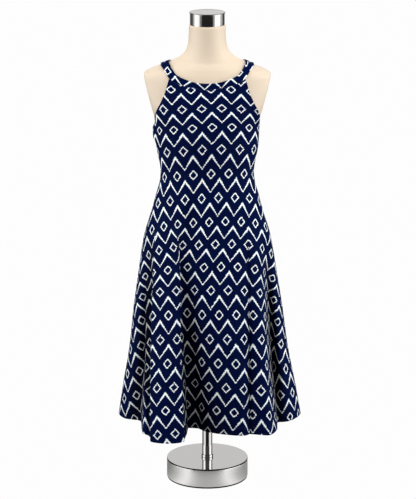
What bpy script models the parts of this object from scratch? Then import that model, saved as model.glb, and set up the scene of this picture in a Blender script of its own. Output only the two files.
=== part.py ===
"""Halter dress, worn by a limbless dress form that stands on a round metal base.

Metres, +Z up.  The dress faces -Y and the origin is the centre of the base's underside.

Two tables drive every curved piece: FORM_SECTIONS gives the body's horizontal sections and
SKIRT_SECTIONS those of the skirt where it leaves the body.  A point of either surface is asked
for by its turn (degrees from the centre front, positive towards +X, 180 at the centre back)
and its height.  The skirt's folds come from SKIRT_FOLDS, a row for each ridge and valley.
"""

import math

import bmesh
import bpy
from mathutils import Vector

# ------------------------------------------------------------------ driving dimensions
MM = 0.001

# The stand, from the floor up.
BASE_RADIUS = 0.1015
BASE_HEIGHT = 0.050
BASE_EDGE = 0.0016
BASE_SOCKET_DEPTH = 0.022
COLLAR_RADIUS = 0.0146
COLLAR_HEIGHT = 0.007
POLE_RADIUS = 0.0127
POLE_TOP = 0.575
NECK_CAP_RADIUS = 0.0424
NECK_CAP_HEIGHT = 0.0305
NECK_CAP_LIP = 0.0011
NECK_CAP_LIP_HEIGHT = 0.0024

# The cloth.
CLOTH_THICKNESS = 0.0015
CLOTH_CLEARANCE = 0.0016
HEM_HEIGHT = 0.164
UNDERARM_HEIGHT = 0.895
ARMHOLE_TOP = 1.0255
FOLD_GROWTH = 1.25

# Play between neighbours.
GAP = 0.0003
EDGE = GAP / 2
MERGE_DISTANCE = 0.00005

# Mesh density.
FORM_COLUMNS = 36
PANEL_COLUMNS = 40
SKIRT_ROWS = 10
WAIST_ROWS = 11
BODICE_ROWS = 7
BAND_COLUMNS_PER_STRAP = 8
ROUND_SIDES = 40

# The form's sections: height, half width, depth to the front, depth to the back, squareness
# (2 is an ellipse, more is squarer).
FORM_SECTIONS = [
    (0.515, 0.1250, 0.0740, 0.0820, 2.2),
    (0.518, 0.1330, 0.0800, 0.0885, 2.2),
    (0.526, 0.1380, 0.0840, 0.0930, 2.2),
    (0.545, 0.1405, 0.0860, 0.0960, 2.2),
    (0.580, 0.1415, 0.0875, 0.0975, 2.2),
    (0.620, 0.1400, 0.0880, 0.0965, 2.2),
    (0.670, 0.1335, 0.0870, 0.0915, 2.2),
    (0.710, 0.1255, 0.0840, 0.0845, 2.2),
    (0.740, 0.1180, 0.0810, 0.0790, 2.2),
    (0.765, 0.1130, 0.0785, 0.0745, 2.2),
    (0.786, 0.1112, 0.0778, 0.0728, 2.2),
    (0.805, 0.1128, 0.0785, 0.0725, 2.2),
    (0.830, 0.1180, 0.0810, 0.0740, 2.2),
    (0.860, 0.1222, 0.0840, 0.0775, 2.2),
    (0.890, 0.1235, 0.0850, 0.0800, 2.2),
    (0.912, 0.1258, 0.0840, 0.0805, 2.2),
    (0.935, 0.1360, 0.0815, 0.0800, 2.2),
    (0.960, 0.1475, 0.0780, 0.0790, 2.2),
    (0.985, 0.1555, 0.0735, 0.0765, 2.2),
    (1.006, 0.1590, 0.0692, 0.0735, 2.2),
    (1.020, 0.1585, 0.0665, 0.0710, 2.2),
    (1.030, 0.1535, 0.0640, 0.0688, 2.2),
    (1.038, 0.1415, 0.0612, 0.0667, 2.2),
    (1.046, 0.1205, 0.0582, 0.0645, 2.2),
    (1.053, 0.1020, 0.0548, 0.0622, 2.15),
    (1.060, 0.0850, 0.0516, 0.0596, 2.1),
    (1.068, 0.0700, 0.0490, 0.0565, 2.05),
    (1.077, 0.0580, 0.0474, 0.0530, 2.0),
    (1.090, 0.0500, 0.0462, 0.0495, 2.0),
    (1.108, 0.0460, 0.0450, 0.0465, 2.0),
    (1.130, 0.0446, 0.0445, 0.0448, 2.0),
    (1.1435, 0.0444, 0.0444, 0.0444, 2.0),
    (1.1465, 0.0436, 0.0436, 0.0436, 2.0),
    (1.1475, 0.0422, 0.0422, 0.0422, 2.0),
]
NECK_TOP = FORM_SECTIONS[-1][0]

# The flat arm plates: half width of the plate's plane at the underarm, and how far it leans
# out for each metre of height.
ARM_PLATE_FOOT_HEIGHT = 0.905
ARM_PLATE_FOOT = 0.1242
ARM_PLATE_LEAN = 0.242

# The dress where it hangs free, down to the hem; above SKIRT_TOP it follows the form.
SKIRT_TOP = 0.765
SKIRT_SECTIONS = [
    (HEM_HEIGHT, 0.2245, 0.1610, 0.1590, 2.0),
    (0.243, 0.2115, 0.1530, 0.1520, 2.0),
    (0.343, 0.1935, 0.1425, 0.1440, 2.0),
    (0.441, 0.1815, 0.1310, 0.1350, 2.0),
    (0.540, 0.1665, 0.1170, 0.1225, 2.05),
    (0.590, 0.1590, 0.1095, 0.1150, 2.1),
    (0.625, 0.1525, 0.1025, 0.1080, 2.15),
    (0.652, 0.1450, 0.0965, 0.1015, 2.2),
    (0.675, 0.1375, 0.0920, 0.0955, 2.2),
    (0.696, 0.1312, 0.0882, 0.0905, 2.2),
    (0.724, 0.1240, 0.0845, 0.0848, 2.2),
]

# The skirt's folds, once round from the side seam at -X by the front: the turn where the fold
# meets the hip, where its hem point lies, how far the hem drops there, and the height where
# the fold fades out.
SKIRT_FOLDS = [
    # name, hip turn, hem x, hem y, hem drop, fold top
    ("left side seam", -90.0, -0.219, 0.000, 0.0, 0.62),
    ("left side ridge", -78.0, -0.204, -0.040, 0.0, 0.62),
    ("left valley", -69.0, -0.164, -0.064, 0.0, 0.63),
    ("left valley wall", -65.0, -0.161, -0.112, 0.0, 0.63),
    ("small lobe", -60.0, -0.152, -0.156, 0.0, 0.62),
    ("first ridge, outer edge", -55.0, -0.136, -0.186, 9 * MM, 0.64),
    ("first ridge", -40.0, -0.096, -0.198, 12 * MM, 0.64),
    ("first ridge, inner edge", -28.0, -0.061, -0.188, 11 * MM, 0.64),
    ("first ridge wall", -24.0, -0.051, -0.150, 4 * MM, 0.64),
    ("centre valley", -19.0, -0.047, -0.114, 0.0, 0.62),
    ("centre valley floor", -12.0, -0.024, -0.116, 0.0, 0.60),
    ("centre rise", -5.0, 0.000, -0.143, 0.0, 0.58),
    ("second ridge, inner edge", 6.0, 0.040, -0.163, 0.0, 0.58),
    ("second ridge", 22.0, 0.088, -0.175, 0.0, 0.58),
    ("shallow valley", 35.0, 0.120, -0.164, 0.0, 0.60),
    ("third ridge", 46.0, 0.148, -0.171, 0.0, 0.62),
    ("third ridge wall", 55.0, 0.169, -0.138, 0.0, 0.63),
    ("right valley", 62.0, 0.171, -0.086, 0.0, 0.63),
    ("right side ridge", 76.0, 0.207, -0.056, 0.0, 0.62),
    ("right side seam", 90.0, 0.231, 0.000, 0.0, 0.62),
    ("right back ridge", 104.0, 0.205, 0.050, 0.0, 0.62),
    ("right back valley", 116.0, 0.162, 0.072, 0.0, 0.63),
    ("right back wall", 123.0, 0.158, 0.120, 0.0, 0.63),
    ("back first ridge", 133.0, 0.128, 0.174, 4 * MM, 0.62),
    ("back first ridge, inner edge", 147.0, 0.084, 0.178, 4 * MM, 0.62),
    ("back first valley", 158.0, 0.056, 0.128, 0.0, 0.61),
    ("back centre ridge, outer edge", 171.0, 0.018, 0.166, 0.0, 0.60),
    ("back centre ridge", 185.0, -0.030, 0.178, 3 * MM, 0.60),
    ("back second valley", 200.0, -0.066, 0.134, 0.0, 0.61),
    ("back third ridge, inner edge", 213.0, -0.102, 0.180, 5 * MM, 0.62),
    ("back third ridge", 226.0, -0.142, 0.168, 5 * MM, 0.62),
    ("left back wall", 237.0, -0.162, 0.118, 0.0, 0.63),
    ("left back valley", 245.0, -0.163, 0.078, 0.0, 0.63),
    ("left back ridge", 257.0, -0.200, 0.048, 0.0, 0.62),
]

# Cut edges as the turn from the centre front or back against the height.
ARMHOLE = [(0.895, 90.0), (0.910, 82.0), (0.925, 72.5), (0.943, 59.5),
           (0.966, 46.5), (0.995, 37.3), (ARMHOLE_TOP, 33.0)]
ARMHOLE_CORNER = ARMHOLE[-1][1]
FRONT_BAND_LOWER = [(0.0, 1.0000), (12.4, 1.0063), (19.0, 1.0095), (25.0, 1.0150),
                    (33.0, ARMHOLE_TOP), (38.0, 1.0330), (48.0, 1.0410), (67.0, 1.0470),
                    (90.0, 1.0497)]
FRONT_BAND_UPPER = [(0.0, 1.0157), (7.2, 1.0173), (14.1, 1.0220), (18.4, 1.0256),
                    (23.0, 1.0298), (28.1, 1.0349), (34.0, 1.0408), (43.3, 1.0464),
                    (57.8, 1.0526), (90.0, 1.0580)]
BACK_BAND_LOWER = [(0.0, 1.0120), (12.4, 1.0150), (19.0, 1.0170), (25.0, 1.0200),
                   (33.0, ARMHOLE_TOP), (38.0, 1.0330), (48.0, 1.0410), (67.0, 1.0470),
                   (90.0, 1.0497)]
BACK_BAND_UPPER = [(0.0, 1.0290), (7.2, 1.0300), (14.1, 1.0325), (18.4, 1.0345),
                   (23.0, 1.0370), (28.1, 1.0400), (34.0, 1.0435), (43.3, 1.0480),
                   (57.8, 1.0530), (90.0, 1.0580)]
# Which turn on the band's upper edge lies across from a turn on its lower edge.
BAND_ACROSS = [(0.0, 0.0), (25.0, 22.5), (33.0, 30.5), (48.0, 44.0), (67.0, 63.0),
               (90.0, 90.0)]

# Colours: red, green, blue, roughness, metallic.
NAVY_CLOTH = (0.008, 0.013, 0.075, 0.85, 0.0)
CREAM_PLASTIC = (0.88, 0.78, 0.62, 0.45, 0.0)
BRIGHT_CHROME = (0.62, 0.62, 0.62, 0.08, 1.0)
SATIN_STEEL = (0.52, 0.51, 0.50, 0.28, 1.0)


# ------------------------------------------------------------------ curves through tables
def smooth(rows, x):
    """Value at x of a smooth curve through rows of (x, value) that never overshoots them."""
    last = len(rows) - 1
    x = min(max(x, rows[0][0]), rows[last][0])
    i = 0
    while i < last - 1 and x > rows[i + 1][0]:
        i += 1
    steps = [rows[k + 1][0] - rows[k][0] for k in range(last)]
    slopes = [(rows[k + 1][1] - rows[k][1]) / steps[k] for k in range(last)]

    def tangent(k):
        if k == 0:
            return slopes[0]
        if k == last:
            return slopes[last - 1]
        if slopes[k - 1] * slopes[k] <= 0.0:
            return 0.0
        before = 2 * steps[k] + steps[k - 1]
        after = steps[k] + 2 * steps[k - 1]
        return (before + after) / (before / slopes[k - 1] + after / slopes[k])

    t = (x - rows[i][0]) / steps[i]
    start = rows[i][1] * (1 + 2 * t) * (1 - t) ** 2 + tangent(i) * steps[i] * t * (1 - t) ** 2
    end = rows[i + 1][1] * t * t * (3 - 2 * t) + tangent(i + 1) * steps[i] * t * t * (t - 1)
    return start + end


def columns_of(table, key_column, value_columns):
    """One list of (key, value) rows for each of a table's value columns."""
    return [[(row[key_column], row[c]) for row in table] for c in value_columns]


FORM_CURVES = columns_of(FORM_SECTIONS, 0, (1, 2, 3, 4))
DRESS_SECTIONS = SKIRT_SECTIONS + [row for row in FORM_SECTIONS if row[0] >= SKIRT_TOP]
DRESS_CURVES = columns_of(DRESS_SECTIONS, 0, (1, 2, 3, 4))
FOLDS_ONCE_ROUND = (
    [(row[0], row[1] - 360.0) + row[2:] for row in SKIRT_FOLDS[-3:]]
    + SKIRT_FOLDS
    + [(row[0], row[1] + 360.0) + row[2:] for row in SKIRT_FOLDS[:4]]
)
FOLD_CURVES = columns_of(FOLDS_ONCE_ROUND, 1, (2, 3, 4, 5))


def section_point(curves, turn, height):
    """Point of a horizontal section: an ellipse, squared up, deeper in front or behind."""
    half_width, front, back, squareness = [smooth(rows, height) for rows in curves]
    across = math.sin(math.radians(turn))
    along = -math.cos(math.radians(turn))
    power = 2.0 / squareness
    depth = front if along < 0.0 else back
    x = math.copysign(abs(across) ** power * half_width, across)
    y = math.copysign(abs(along) ** power * depth, along)
    return Vector((x, y, height))


def form_point(turn, height):
    """Point of the form's skin."""
    return section_point(FORM_CURVES, turn, height)


def hanging_point(turn, height):
    """Point of the dress before it is moved out to the middle of its wall, folds and all."""
    turn = (turn + 90.0) % 360.0 - 90.0
    point = section_point(DRESS_CURVES, turn, height)
    hem_x, hem_y, drop, fold_top = [smooth(rows, turn) for rows in FOLD_CURVES]
    if height >= fold_top:
        return point
    growth = ((fold_top - height) / (fold_top - HEM_HEIGHT)) ** FOLD_GROWTH
    plain_hem = section_point(DRESS_CURVES, turn, HEM_HEIGHT)
    point.x += growth * (hem_x - plain_hem.x)
    point.y += growth * (hem_y - plain_hem.y)
    point.z -= growth * growth * drop
    return point


def cloth_frame(turn, height):
    """Middle of the cloth's wall at a turn and height, and the outward direction there."""
    turn_step = 0.8
    height_step = 0.0015
    low = max(height - height_step, HEM_HEIGHT)
    around = hanging_point(turn + turn_step, height) - hanging_point(turn - turn_step, height)
    up = hanging_point(turn, height + height_step) - hanging_point(turn, low)
    outward = around.cross(up).normalized()
    middle = hanging_point(turn, height) + outward * (CLOTH_CLEARANCE + CLOTH_THICKNESS / 2)
    return middle, outward


# ------------------------------------------------------------------ mesh helpers
def new_object(name, mesh, collection, colour):
    """Object with its own principled material."""
    red, green, blue, roughness, metallic = colour
    material = bpy.data.materials.new(name)
    material.use_nodes = True
    shader = material.node_tree.nodes["Principled BSDF"]
    shader.inputs["Base Color"].default_value = (red, green, blue, 1.0)
    shader.inputs["Roughness"].default_value = roughness
    shader.inputs["Metallic"].default_value = metallic
    mesh.materials.append(material)
    obj = bpy.data.objects.new(name, mesh)
    collection.objects.link(obj)
    return obj


def mesh_from(name, bm, sharp_degrees):
    """Mesh of a bmesh, shaded smooth but for edges sharper than the given angle."""
    bmesh.ops.recalc_face_normals(bm, faces=bm.faces)
    mesh = bpy.data.meshes.new(name)
    bm.to_mesh(mesh)
    bm.free()
    mesh.shade_smooth()
    mesh.set_sharp_from_angle(angle=math.radians(sharp_degrees))
    return mesh


def cloth_wall(name, grid, collection):
    """Closed wall of cloth from a grid of (middle point, outward direction) rows."""
    bm = bmesh.new()
    half = CLOTH_THICKNESS / 2
    outer = [[bm.verts.new(p + n * half) for p, n in row] for row in grid]
    inner = [[bm.verts.new(p - n * half) for p, n in row] for row in grid]
    row_count = len(grid)
    column_count = len(grid[0])
    for i in range(row_count - 1):
        for j in range(column_count - 1):
            bm.faces.new((outer[i][j], outer[i][j + 1], outer[i + 1][j + 1], outer[i + 1][j]))
            bm.faces.new((inner[i][j], inner[i + 1][j], inner[i + 1][j + 1], inner[i][j + 1]))
    border = [(0, j) for j in range(column_count)]
    border += [(i, column_count - 1) for i in range(1, row_count)]
    border += [(row_count - 1, j) for j in range(column_count - 2, -1, -1)]
    border += [(i, 0) for i in range(row_count - 2, 0, -1)]
    for k, (i, j) in enumerate(border):
        next_i, next_j = border[(k + 1) % len(border)]
        bm.faces.new((outer[i][j], inner[i][j], inner[next_i][next_j], outer[next_i][next_j]))
    return new_object(name, mesh_from(name, bm, 50), collection, NAVY_CLOTH)


def moved_in(grid, row_ends, column_ends):
    """Grid whose chosen border rows and columns step back by half the seam's gap."""
    rows = [list(row) for row in grid]

    def step(edge, inside):
        towards = (inside[0] - edge[0]).normalized()
        return edge[0] + towards * EDGE, edge[1]

    for i in row_ends:
        beside = 1 if i == 0 else len(rows) - 2
        rows[i] = [step(rows[i][j], rows[beside][j]) for j in range(len(rows[i]))]
    for row in rows:
        for j in column_ends:
            row[j] = step(row[j], row[1 if j == 0 else len(row) - 2])
    return rows


# ------------------------------------------------------------------ the cloth pieces
def even_turns(start, end, count):
    """Turns from start to end that share the hem's length and the hip's length evenly."""
    samples = 720
    lengths = [0.0]
    for k in range(samples):
        a = start + (end - start) * k / samples
        b = start + (end - start) * (k + 1) / samples
        hem = (hanging_point(b, HEM_HEIGHT) - hanging_point(a, HEM_HEIGHT)).length
        bust = (hanging_point(b, UNDERARM_HEIGHT) - hanging_point(a, UNDERARM_HEIGHT)).length
        lengths.append(lengths[-1] + hem + bust)
    turns = []
    k = 0
    for c in range(count + 1):
        wanted = lengths[-1] * c / count
        while k < samples - 1 and lengths[k + 1] < wanted:
            k += 1
        part = (wanted - lengths[k]) / (lengths[k + 1] - lengths[k])
        turns.append(start + (end - start) * (k + min(max(part, 0.0), 1.0)) / samples)
    return turns


def panel_rows(band_lower, centre):
    """A panel's grid: level rows up to the underarm, then rows that end on the armholes."""
    turns = even_turns(centre - 90.0, centre + 90.0, PANEL_COLUMNS)
    hip = SKIRT_FOLDS[0][5]
    heights = [HEM_HEIGHT + (hip - HEM_HEIGHT) * k / SKIRT_ROWS for k in range(SKIRT_ROWS)]
    heights += [hip + (UNDERARM_HEIGHT - hip) * k / WAIST_ROWS for k in range(WAIST_ROWS + 1)]
    grid = [[cloth_frame(turn, height) for turn in turns] for height in heights]
    shares = [(turn - centre) / 90.0 for turn in turns]
    for k in range(1, BODICE_ROWS + 1):
        part = k / BODICE_ROWS
        edge_height = UNDERARM_HEIGHT + (ARMHOLE_TOP - UNDERARM_HEIGHT) * part
        edge_turn = smooth(ARMHOLE, edge_height)
        row = []
        for share in shares:
            top = smooth(band_lower, abs(share) * ARMHOLE_CORNER)
            height = UNDERARM_HEIGHT + (top - UNDERARM_HEIGHT) * part
            row.append(cloth_frame(centre + share * edge_turn, height))
        grid.append(row)
    return grid, shares


def panel(name, centre, band_lower, collection):
    """Front or back panel, stepped back at the side seams and the neckband seam."""
    grid, shares = panel_rows(band_lower, centre)
    seam_rows = SKIRT_ROWS + WAIST_ROWS + 1
    lower = moved_in(grid[:seam_rows], (), (0, -1))
    upper = moved_in(grid[seam_rows - 1:], (-1,), ())[1:]
    cloth_wall(name, lower + upper, collection)
    return shares


def neckband(name, centre, band_lower, band_upper, shares, collection):
    """Band across the neckline that runs on over the shoulders as the straps."""
    turns = [share * ARMHOLE_CORNER for share in shares]
    strap = [ARMHOLE_CORNER + (90.0 - ARMHOLE_CORNER) * k / BAND_COLUMNS_PER_STRAP
             for k in range(1, BAND_COLUMNS_PER_STRAP + 1)]
    turns = [-turn for turn in reversed(strap)] + turns + strap
    grid = []
    for across in (0.0, 0.5, 1.0):
        row = []
        for turn in turns:
            side = math.copysign(1.0, turn)
            upper_turn = smooth(BAND_ACROSS, abs(turn))
            low = smooth(band_lower, abs(turn))
            high = smooth(band_upper, upper_turn)
            here = abs(turn) + (upper_turn - abs(turn)) * across
            row.append(cloth_frame(centre + side * here, low + (high - low) * across))
        grid.append(row)
    cloth_wall(name, moved_in(grid, (0,), (0, -1)), collection)


# ------------------------------------------------------------------ the form and its stand
def turned(name, profile, collection, colour):
    """Piece turned about Z from a profile of (radius, height), top to bottom."""
    bm = bmesh.new()
    verts = [bm.verts.new((radius, 0.0, height)) for radius, height in profile]
    for a, b in zip(verts, verts[1:]):
        bm.edges.new((a, b))
    mesh = bpy.data.meshes.new(name)
    bm.to_mesh(mesh)
    bm.free()
    obj = new_object(name, mesh, collection, colour)
    screw = obj.modifiers.new("Turn", "SCREW")
    screw.steps = ROUND_SIDES
    screw.render_steps = ROUND_SIDES
    screw.use_merge_vertices = True
    screw.merge_threshold = MERGE_DISTANCE
    screw.use_smooth_shade = True
    return obj


def cylinder(name, radius, low, high, collection):
    """Round guide body standing on the axis, used as a cutter."""
    bpy.ops.mesh.primitive_cylinder_add(
        vertices=32, radius=radius, depth=high - low, location=(0, 0, (low + high) / 2))
    return as_cutter(name, collection)


def as_cutter(name, collection):
    """The active object, moved to the cutters' collection and hidden from renders."""
    cutter = bpy.context.object
    cutter.name = name
    for owner in list(cutter.users_collection):
        owner.objects.unlink(cutter)
    collection.objects.link(cutter)
    cutter.hide_render = True
    cutter.display_type = "WIRE"
    return cutter


def cut(obj, cutter):
    """Takes the cutter's volume out of an object."""
    boolean = obj.modifiers.new(cutter.name, "BOOLEAN")
    boolean.operation = "DIFFERENCE"
    boolean.solver = "EXACT"
    boolean.object = cutter


def form_heights():
    """Ring heights of the torso: each section, with rings between where they lie far apart."""
    widest_step = 0.022
    heights = []
    for low, high in zip(FORM_SECTIONS, FORM_SECTIONS[1:]):
        count = max(1, math.ceil((high[0] - low[0]) / widest_step))
        heights += [low[0] + (high[0] - low[0]) * k / count for k in range(count)]
    return heights + [FORM_SECTIONS[-1][0]]


def torso(collection, cutters):
    """Neck, shoulders, bust and hips in one loft, with flat arm plates and a pole socket."""
    bm = bmesh.new()
    turns = [360.0 * k / FORM_COLUMNS for k in range(FORM_COLUMNS)]
    rings = [[bm.verts.new(form_point(turn, height)) for turn in turns]
             for height in form_heights()]
    for low, high in zip(rings, rings[1:]):
        for k in range(FORM_COLUMNS):
            after = (k + 1) % FORM_COLUMNS
            bm.faces.new((low[k], low[after], high[after], high[k]))
    bm.faces.new(rings[0])
    bm.faces.new(rings[-1])
    obj = new_object("form_torso", mesh_from("form_torso", bm, 40), collection, CREAM_PLASTIC)

    slab_height = 0.30
    slab_width = 0.12
    slab_depth = 0.40
    lean = math.atan(ARM_PLATE_LEAN)
    for side, label in ((-1, "left"), (1, "right")):
        foot = Vector((side * ARM_PLATE_FOOT, 0, ARM_PLATE_FOOT_HEIGHT))
        middle = Vector((side * slab_width / 2, 0, slab_height / 2))
        bpy.ops.mesh.primitive_cube_add(
            size=1, location=middle, scale=(slab_width, slab_depth, slab_height))
        slab = as_cutter("arm_plate_cutter_" + label, cutters)
        bpy.context.view_layer.update()
        slab.data.transform(slab.matrix_world)
        slab.matrix_world.identity()
        slab.location = foot
        slab.rotation_euler = (0, side * lean, 0)
        cut(obj, slab)
    cut(obj, cylinder("pole_socket_cutter", POLE_RADIUS + GAP, FORM_SECTIONS[0][0] - 0.05,
                      POLE_TOP + GAP, cutters))


def neck_cap(collection):
    """Metal disc on the neck with a thin lip round its slightly dished top."""
    low = NECK_TOP + GAP
    high = low + NECK_CAP_HEIGHT
    lip = NECK_CAP_RADIUS + NECK_CAP_LIP
    dish = 0.0008
    profile = [(0.0, high - dish), (lip - 0.004, high - dish), (lip - 0.002, high),
               (lip - 0.0006, high), (lip, high - 0.0006), (lip, high - NECK_CAP_LIP_HEIGHT),
               (NECK_CAP_RADIUS, high - NECK_CAP_LIP_HEIGHT - NECK_CAP_LIP),
               (NECK_CAP_RADIUS, low + 0.0006), (NECK_CAP_RADIUS - 0.0006, low), (0.0, low)]
    turned("form_neck_cap", profile, collection, BRIGHT_CHROME)


def pole(collection):
    """Straight tube from the base's socket up into the torso's."""
    low = BASE_HEIGHT - BASE_SOCKET_DEPTH + GAP
    chamfer = 0.0008
    profile = [(0.0, POLE_TOP), (POLE_RADIUS - chamfer, POLE_TOP),
               (POLE_RADIUS, POLE_TOP - chamfer), (POLE_RADIUS, low + chamfer),
               (POLE_RADIUS - chamfer, low), (0.0, low)]
    turned("form_pole", profile, collection, BRIGHT_CHROME)


def pole_collar(collection):
    """Thin ring round the pole's foot."""
    low = BASE_HEIGHT + GAP
    high = low + COLLAR_HEIGHT
    inner = POLE_RADIUS + GAP
    soft = 0.0007
    profile = [(inner, high), (COLLAR_RADIUS - soft, high), (COLLAR_RADIUS, high - soft),
               (COLLAR_RADIUS, low), (inner, low), (inner, high)]
    turned("form_pole_collar", profile, collection, BRIGHT_CHROME)


def base(collection):
    """Heavy round base with a blind socket for the pole and a flat underside."""
    socket = POLE_RADIUS + GAP
    floor = BASE_HEIGHT - BASE_SOCKET_DEPTH
    foot = BASE_RADIUS - 0.0022
    foot_height = 0.0022
    profile = [(0.0, floor), (socket, floor), (socket, BASE_HEIGHT),
               (BASE_RADIUS - BASE_EDGE, BASE_HEIGHT),
               (BASE_RADIUS - BASE_EDGE * 0.3, BASE_HEIGHT - BASE_EDGE * 0.3),
               (BASE_RADIUS, BASE_HEIGHT - BASE_EDGE), (BASE_RADIUS, foot_height + 0.0008),
               (BASE_RADIUS - 0.0008, foot_height), (foot, foot_height), (foot, 0.0), (0.0, 0.0)]
    turned("form_base", profile, collection, SATIN_STEEL)


def main():
    for obj in list(bpy.data.objects):
        bpy.data.objects.remove(obj, do_unlink=True)
    model = bpy.data.collections.new("halter_dress_on_form")
    cutters = bpy.data.collections.new("cutters")
    for collection in (model, cutters):
        bpy.context.scene.collection.children.link(collection)

    torso(model, cutters)
    neck_cap(model)
    pole(model)
    pole_collar(model)
    base(model)

    front_shares = panel("front_panel", 0.0, FRONT_BAND_LOWER, model)
    back_shares = panel("back_panel", 180.0, BACK_BAND_LOWER, model)
    neckband("front_neckband", 0.0, FRONT_BAND_LOWER, FRONT_BAND_UPPER, front_shares, model)
    neckband("back_neckband", 180.0, BACK_BAND_LOWER, BACK_BAND_UPPER, back_shares, model)


main()
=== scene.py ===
"""Looks of the halter dress on its limbless form: fine cloth, print, stitches, form and metal."""

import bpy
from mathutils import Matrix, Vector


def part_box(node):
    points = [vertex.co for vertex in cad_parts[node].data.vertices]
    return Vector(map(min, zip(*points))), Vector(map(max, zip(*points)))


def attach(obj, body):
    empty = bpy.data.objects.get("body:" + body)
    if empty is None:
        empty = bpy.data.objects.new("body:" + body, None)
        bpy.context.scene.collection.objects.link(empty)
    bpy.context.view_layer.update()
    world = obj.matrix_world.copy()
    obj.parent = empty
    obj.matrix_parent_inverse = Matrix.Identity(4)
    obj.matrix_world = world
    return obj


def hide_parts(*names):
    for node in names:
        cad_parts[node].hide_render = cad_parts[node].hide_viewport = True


bl_info = {
    "name": "Halter Dress on Form",
    "version": (1, 0, 0),
    "blender": (4, 5, 0),
    "location": "View3D > Sidebar > Halter Dress",
    "description": "Builds the cloth, the form's finish, the metal stand and a plain studio",
    "category": "Object",
}

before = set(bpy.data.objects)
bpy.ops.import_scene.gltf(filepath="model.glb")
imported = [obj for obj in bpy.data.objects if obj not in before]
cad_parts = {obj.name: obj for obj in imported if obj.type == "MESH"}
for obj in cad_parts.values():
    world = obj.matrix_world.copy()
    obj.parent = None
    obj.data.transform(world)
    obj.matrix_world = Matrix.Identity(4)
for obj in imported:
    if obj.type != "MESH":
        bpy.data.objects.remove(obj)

import math

import bpy
import numpy as np
from mathutils import Vector

BODY = "root"
MM = 0.001

# ------------------------------------------------------------------ sizes shared by the pieces
HEM_HEIGHT = 0.164
UNDERARM_HEIGHT = 0.895
ARMHOLE_TOP = 1.0255
FOLD_GROWTH = 1.25
SKIRT_TOP = 0.765
SKIRT_FREE = 0.67
CLOTH_MIDDLE = 2.35 * MM
DEEPEST_CREASE = 0.45 * CLOTH_MIDDLE
SEAM_GAP = 0.15 * MM

NECK_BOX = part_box("form_neck_cap")
POLE_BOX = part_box("form_pole")
COLLAR_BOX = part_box("form_pole_collar")
BASE_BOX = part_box("form_base")

# Horizontal sections of the form: height, half width, front depth, back depth, squareness.
FORM_SECTIONS = [
    (0.515, 0.1250, 0.0740, 0.0820, 2.2),
    (0.518, 0.1330, 0.0800, 0.0885, 2.2),
    (0.526, 0.1380, 0.0840, 0.0930, 2.2),
    (0.545, 0.1405, 0.0860, 0.0960, 2.2),
    (0.580, 0.1415, 0.0875, 0.0975, 2.2),
    (0.620, 0.1400, 0.0880, 0.0965, 2.2),
    (0.670, 0.1335, 0.0870, 0.0915, 2.2),
    (0.710, 0.1255, 0.0840, 0.0845, 2.2),
    (0.740, 0.1180, 0.0810, 0.0790, 2.2),
    (0.765, 0.1130, 0.0785, 0.0745, 2.2),
    (0.786, 0.1112, 0.0778, 0.0728, 2.2),
    (0.805, 0.1128, 0.0785, 0.0725, 2.2),
    (0.830, 0.1180, 0.0810, 0.0740, 2.2),
    (0.860, 0.1222, 0.0840, 0.0775, 2.2),
    (0.890, 0.1235, 0.0850, 0.0800, 2.2),
    (0.912, 0.1258, 0.0840, 0.0805, 2.2),
    (0.935, 0.1360, 0.0815, 0.0800, 2.2),
    (0.960, 0.1475, 0.0780, 0.0790, 2.2),
    (0.985, 0.1555, 0.0735, 0.0765, 2.2),
    (1.006, 0.1590, 0.0692, 0.0735, 2.2),
    (1.020, 0.1585, 0.0665, 0.0710, 2.2),
    (1.030, 0.1535, 0.0640, 0.0688, 2.2),
    (1.038, 0.1415, 0.0612, 0.0667, 2.2),
    (1.046, 0.1205, 0.0582, 0.0645, 2.2),
    (1.053, 0.1020, 0.0548, 0.0622, 2.15),
    (1.060, 0.0850, 0.0516, 0.0596, 2.1),
    (1.068, 0.0700, 0.0490, 0.0565, 2.05),
    (1.077, 0.0580, 0.0474, 0.0530, 2.0),
    (1.090, 0.0500, 0.0462, 0.0495, 2.0),
    (1.108, 0.0460, 0.0450, 0.0465, 2.0),
    (1.130, 0.0446, 0.0445, 0.0448, 2.0),
    (1.1435, 0.0444, 0.0444, 0.0444, 2.0),
    (1.1465, 0.0436, 0.0436, 0.0436, 2.0),
    (1.1475, 0.0422, 0.0422, 0.0422, 2.0),
]

# The same for the skirt where it hangs free of the form.
SKIRT_SECTIONS = [
    (HEM_HEIGHT, 0.2245, 0.1610, 0.1590, 2.0),
    (0.243, 0.2115, 0.1530, 0.1520, 2.0),
    (0.343, 0.1935, 0.1425, 0.1440, 2.0),
    (0.441, 0.1815, 0.1310, 0.1350, 2.0),
    (0.540, 0.1665, 0.1170, 0.1225, 2.05),
    (0.590, 0.1590, 0.1095, 0.1150, 2.1),
    (0.625, 0.1525, 0.1025, 0.1080, 2.15),
    (0.652, 0.1450, 0.0965, 0.1015, 2.2),
    (0.675, 0.1375, 0.0920, 0.0955, 2.2),
    (0.696, 0.1312, 0.0882, 0.0905, 2.2),
    (0.724, 0.1240, 0.0845, 0.0848, 2.2),
]

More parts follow.
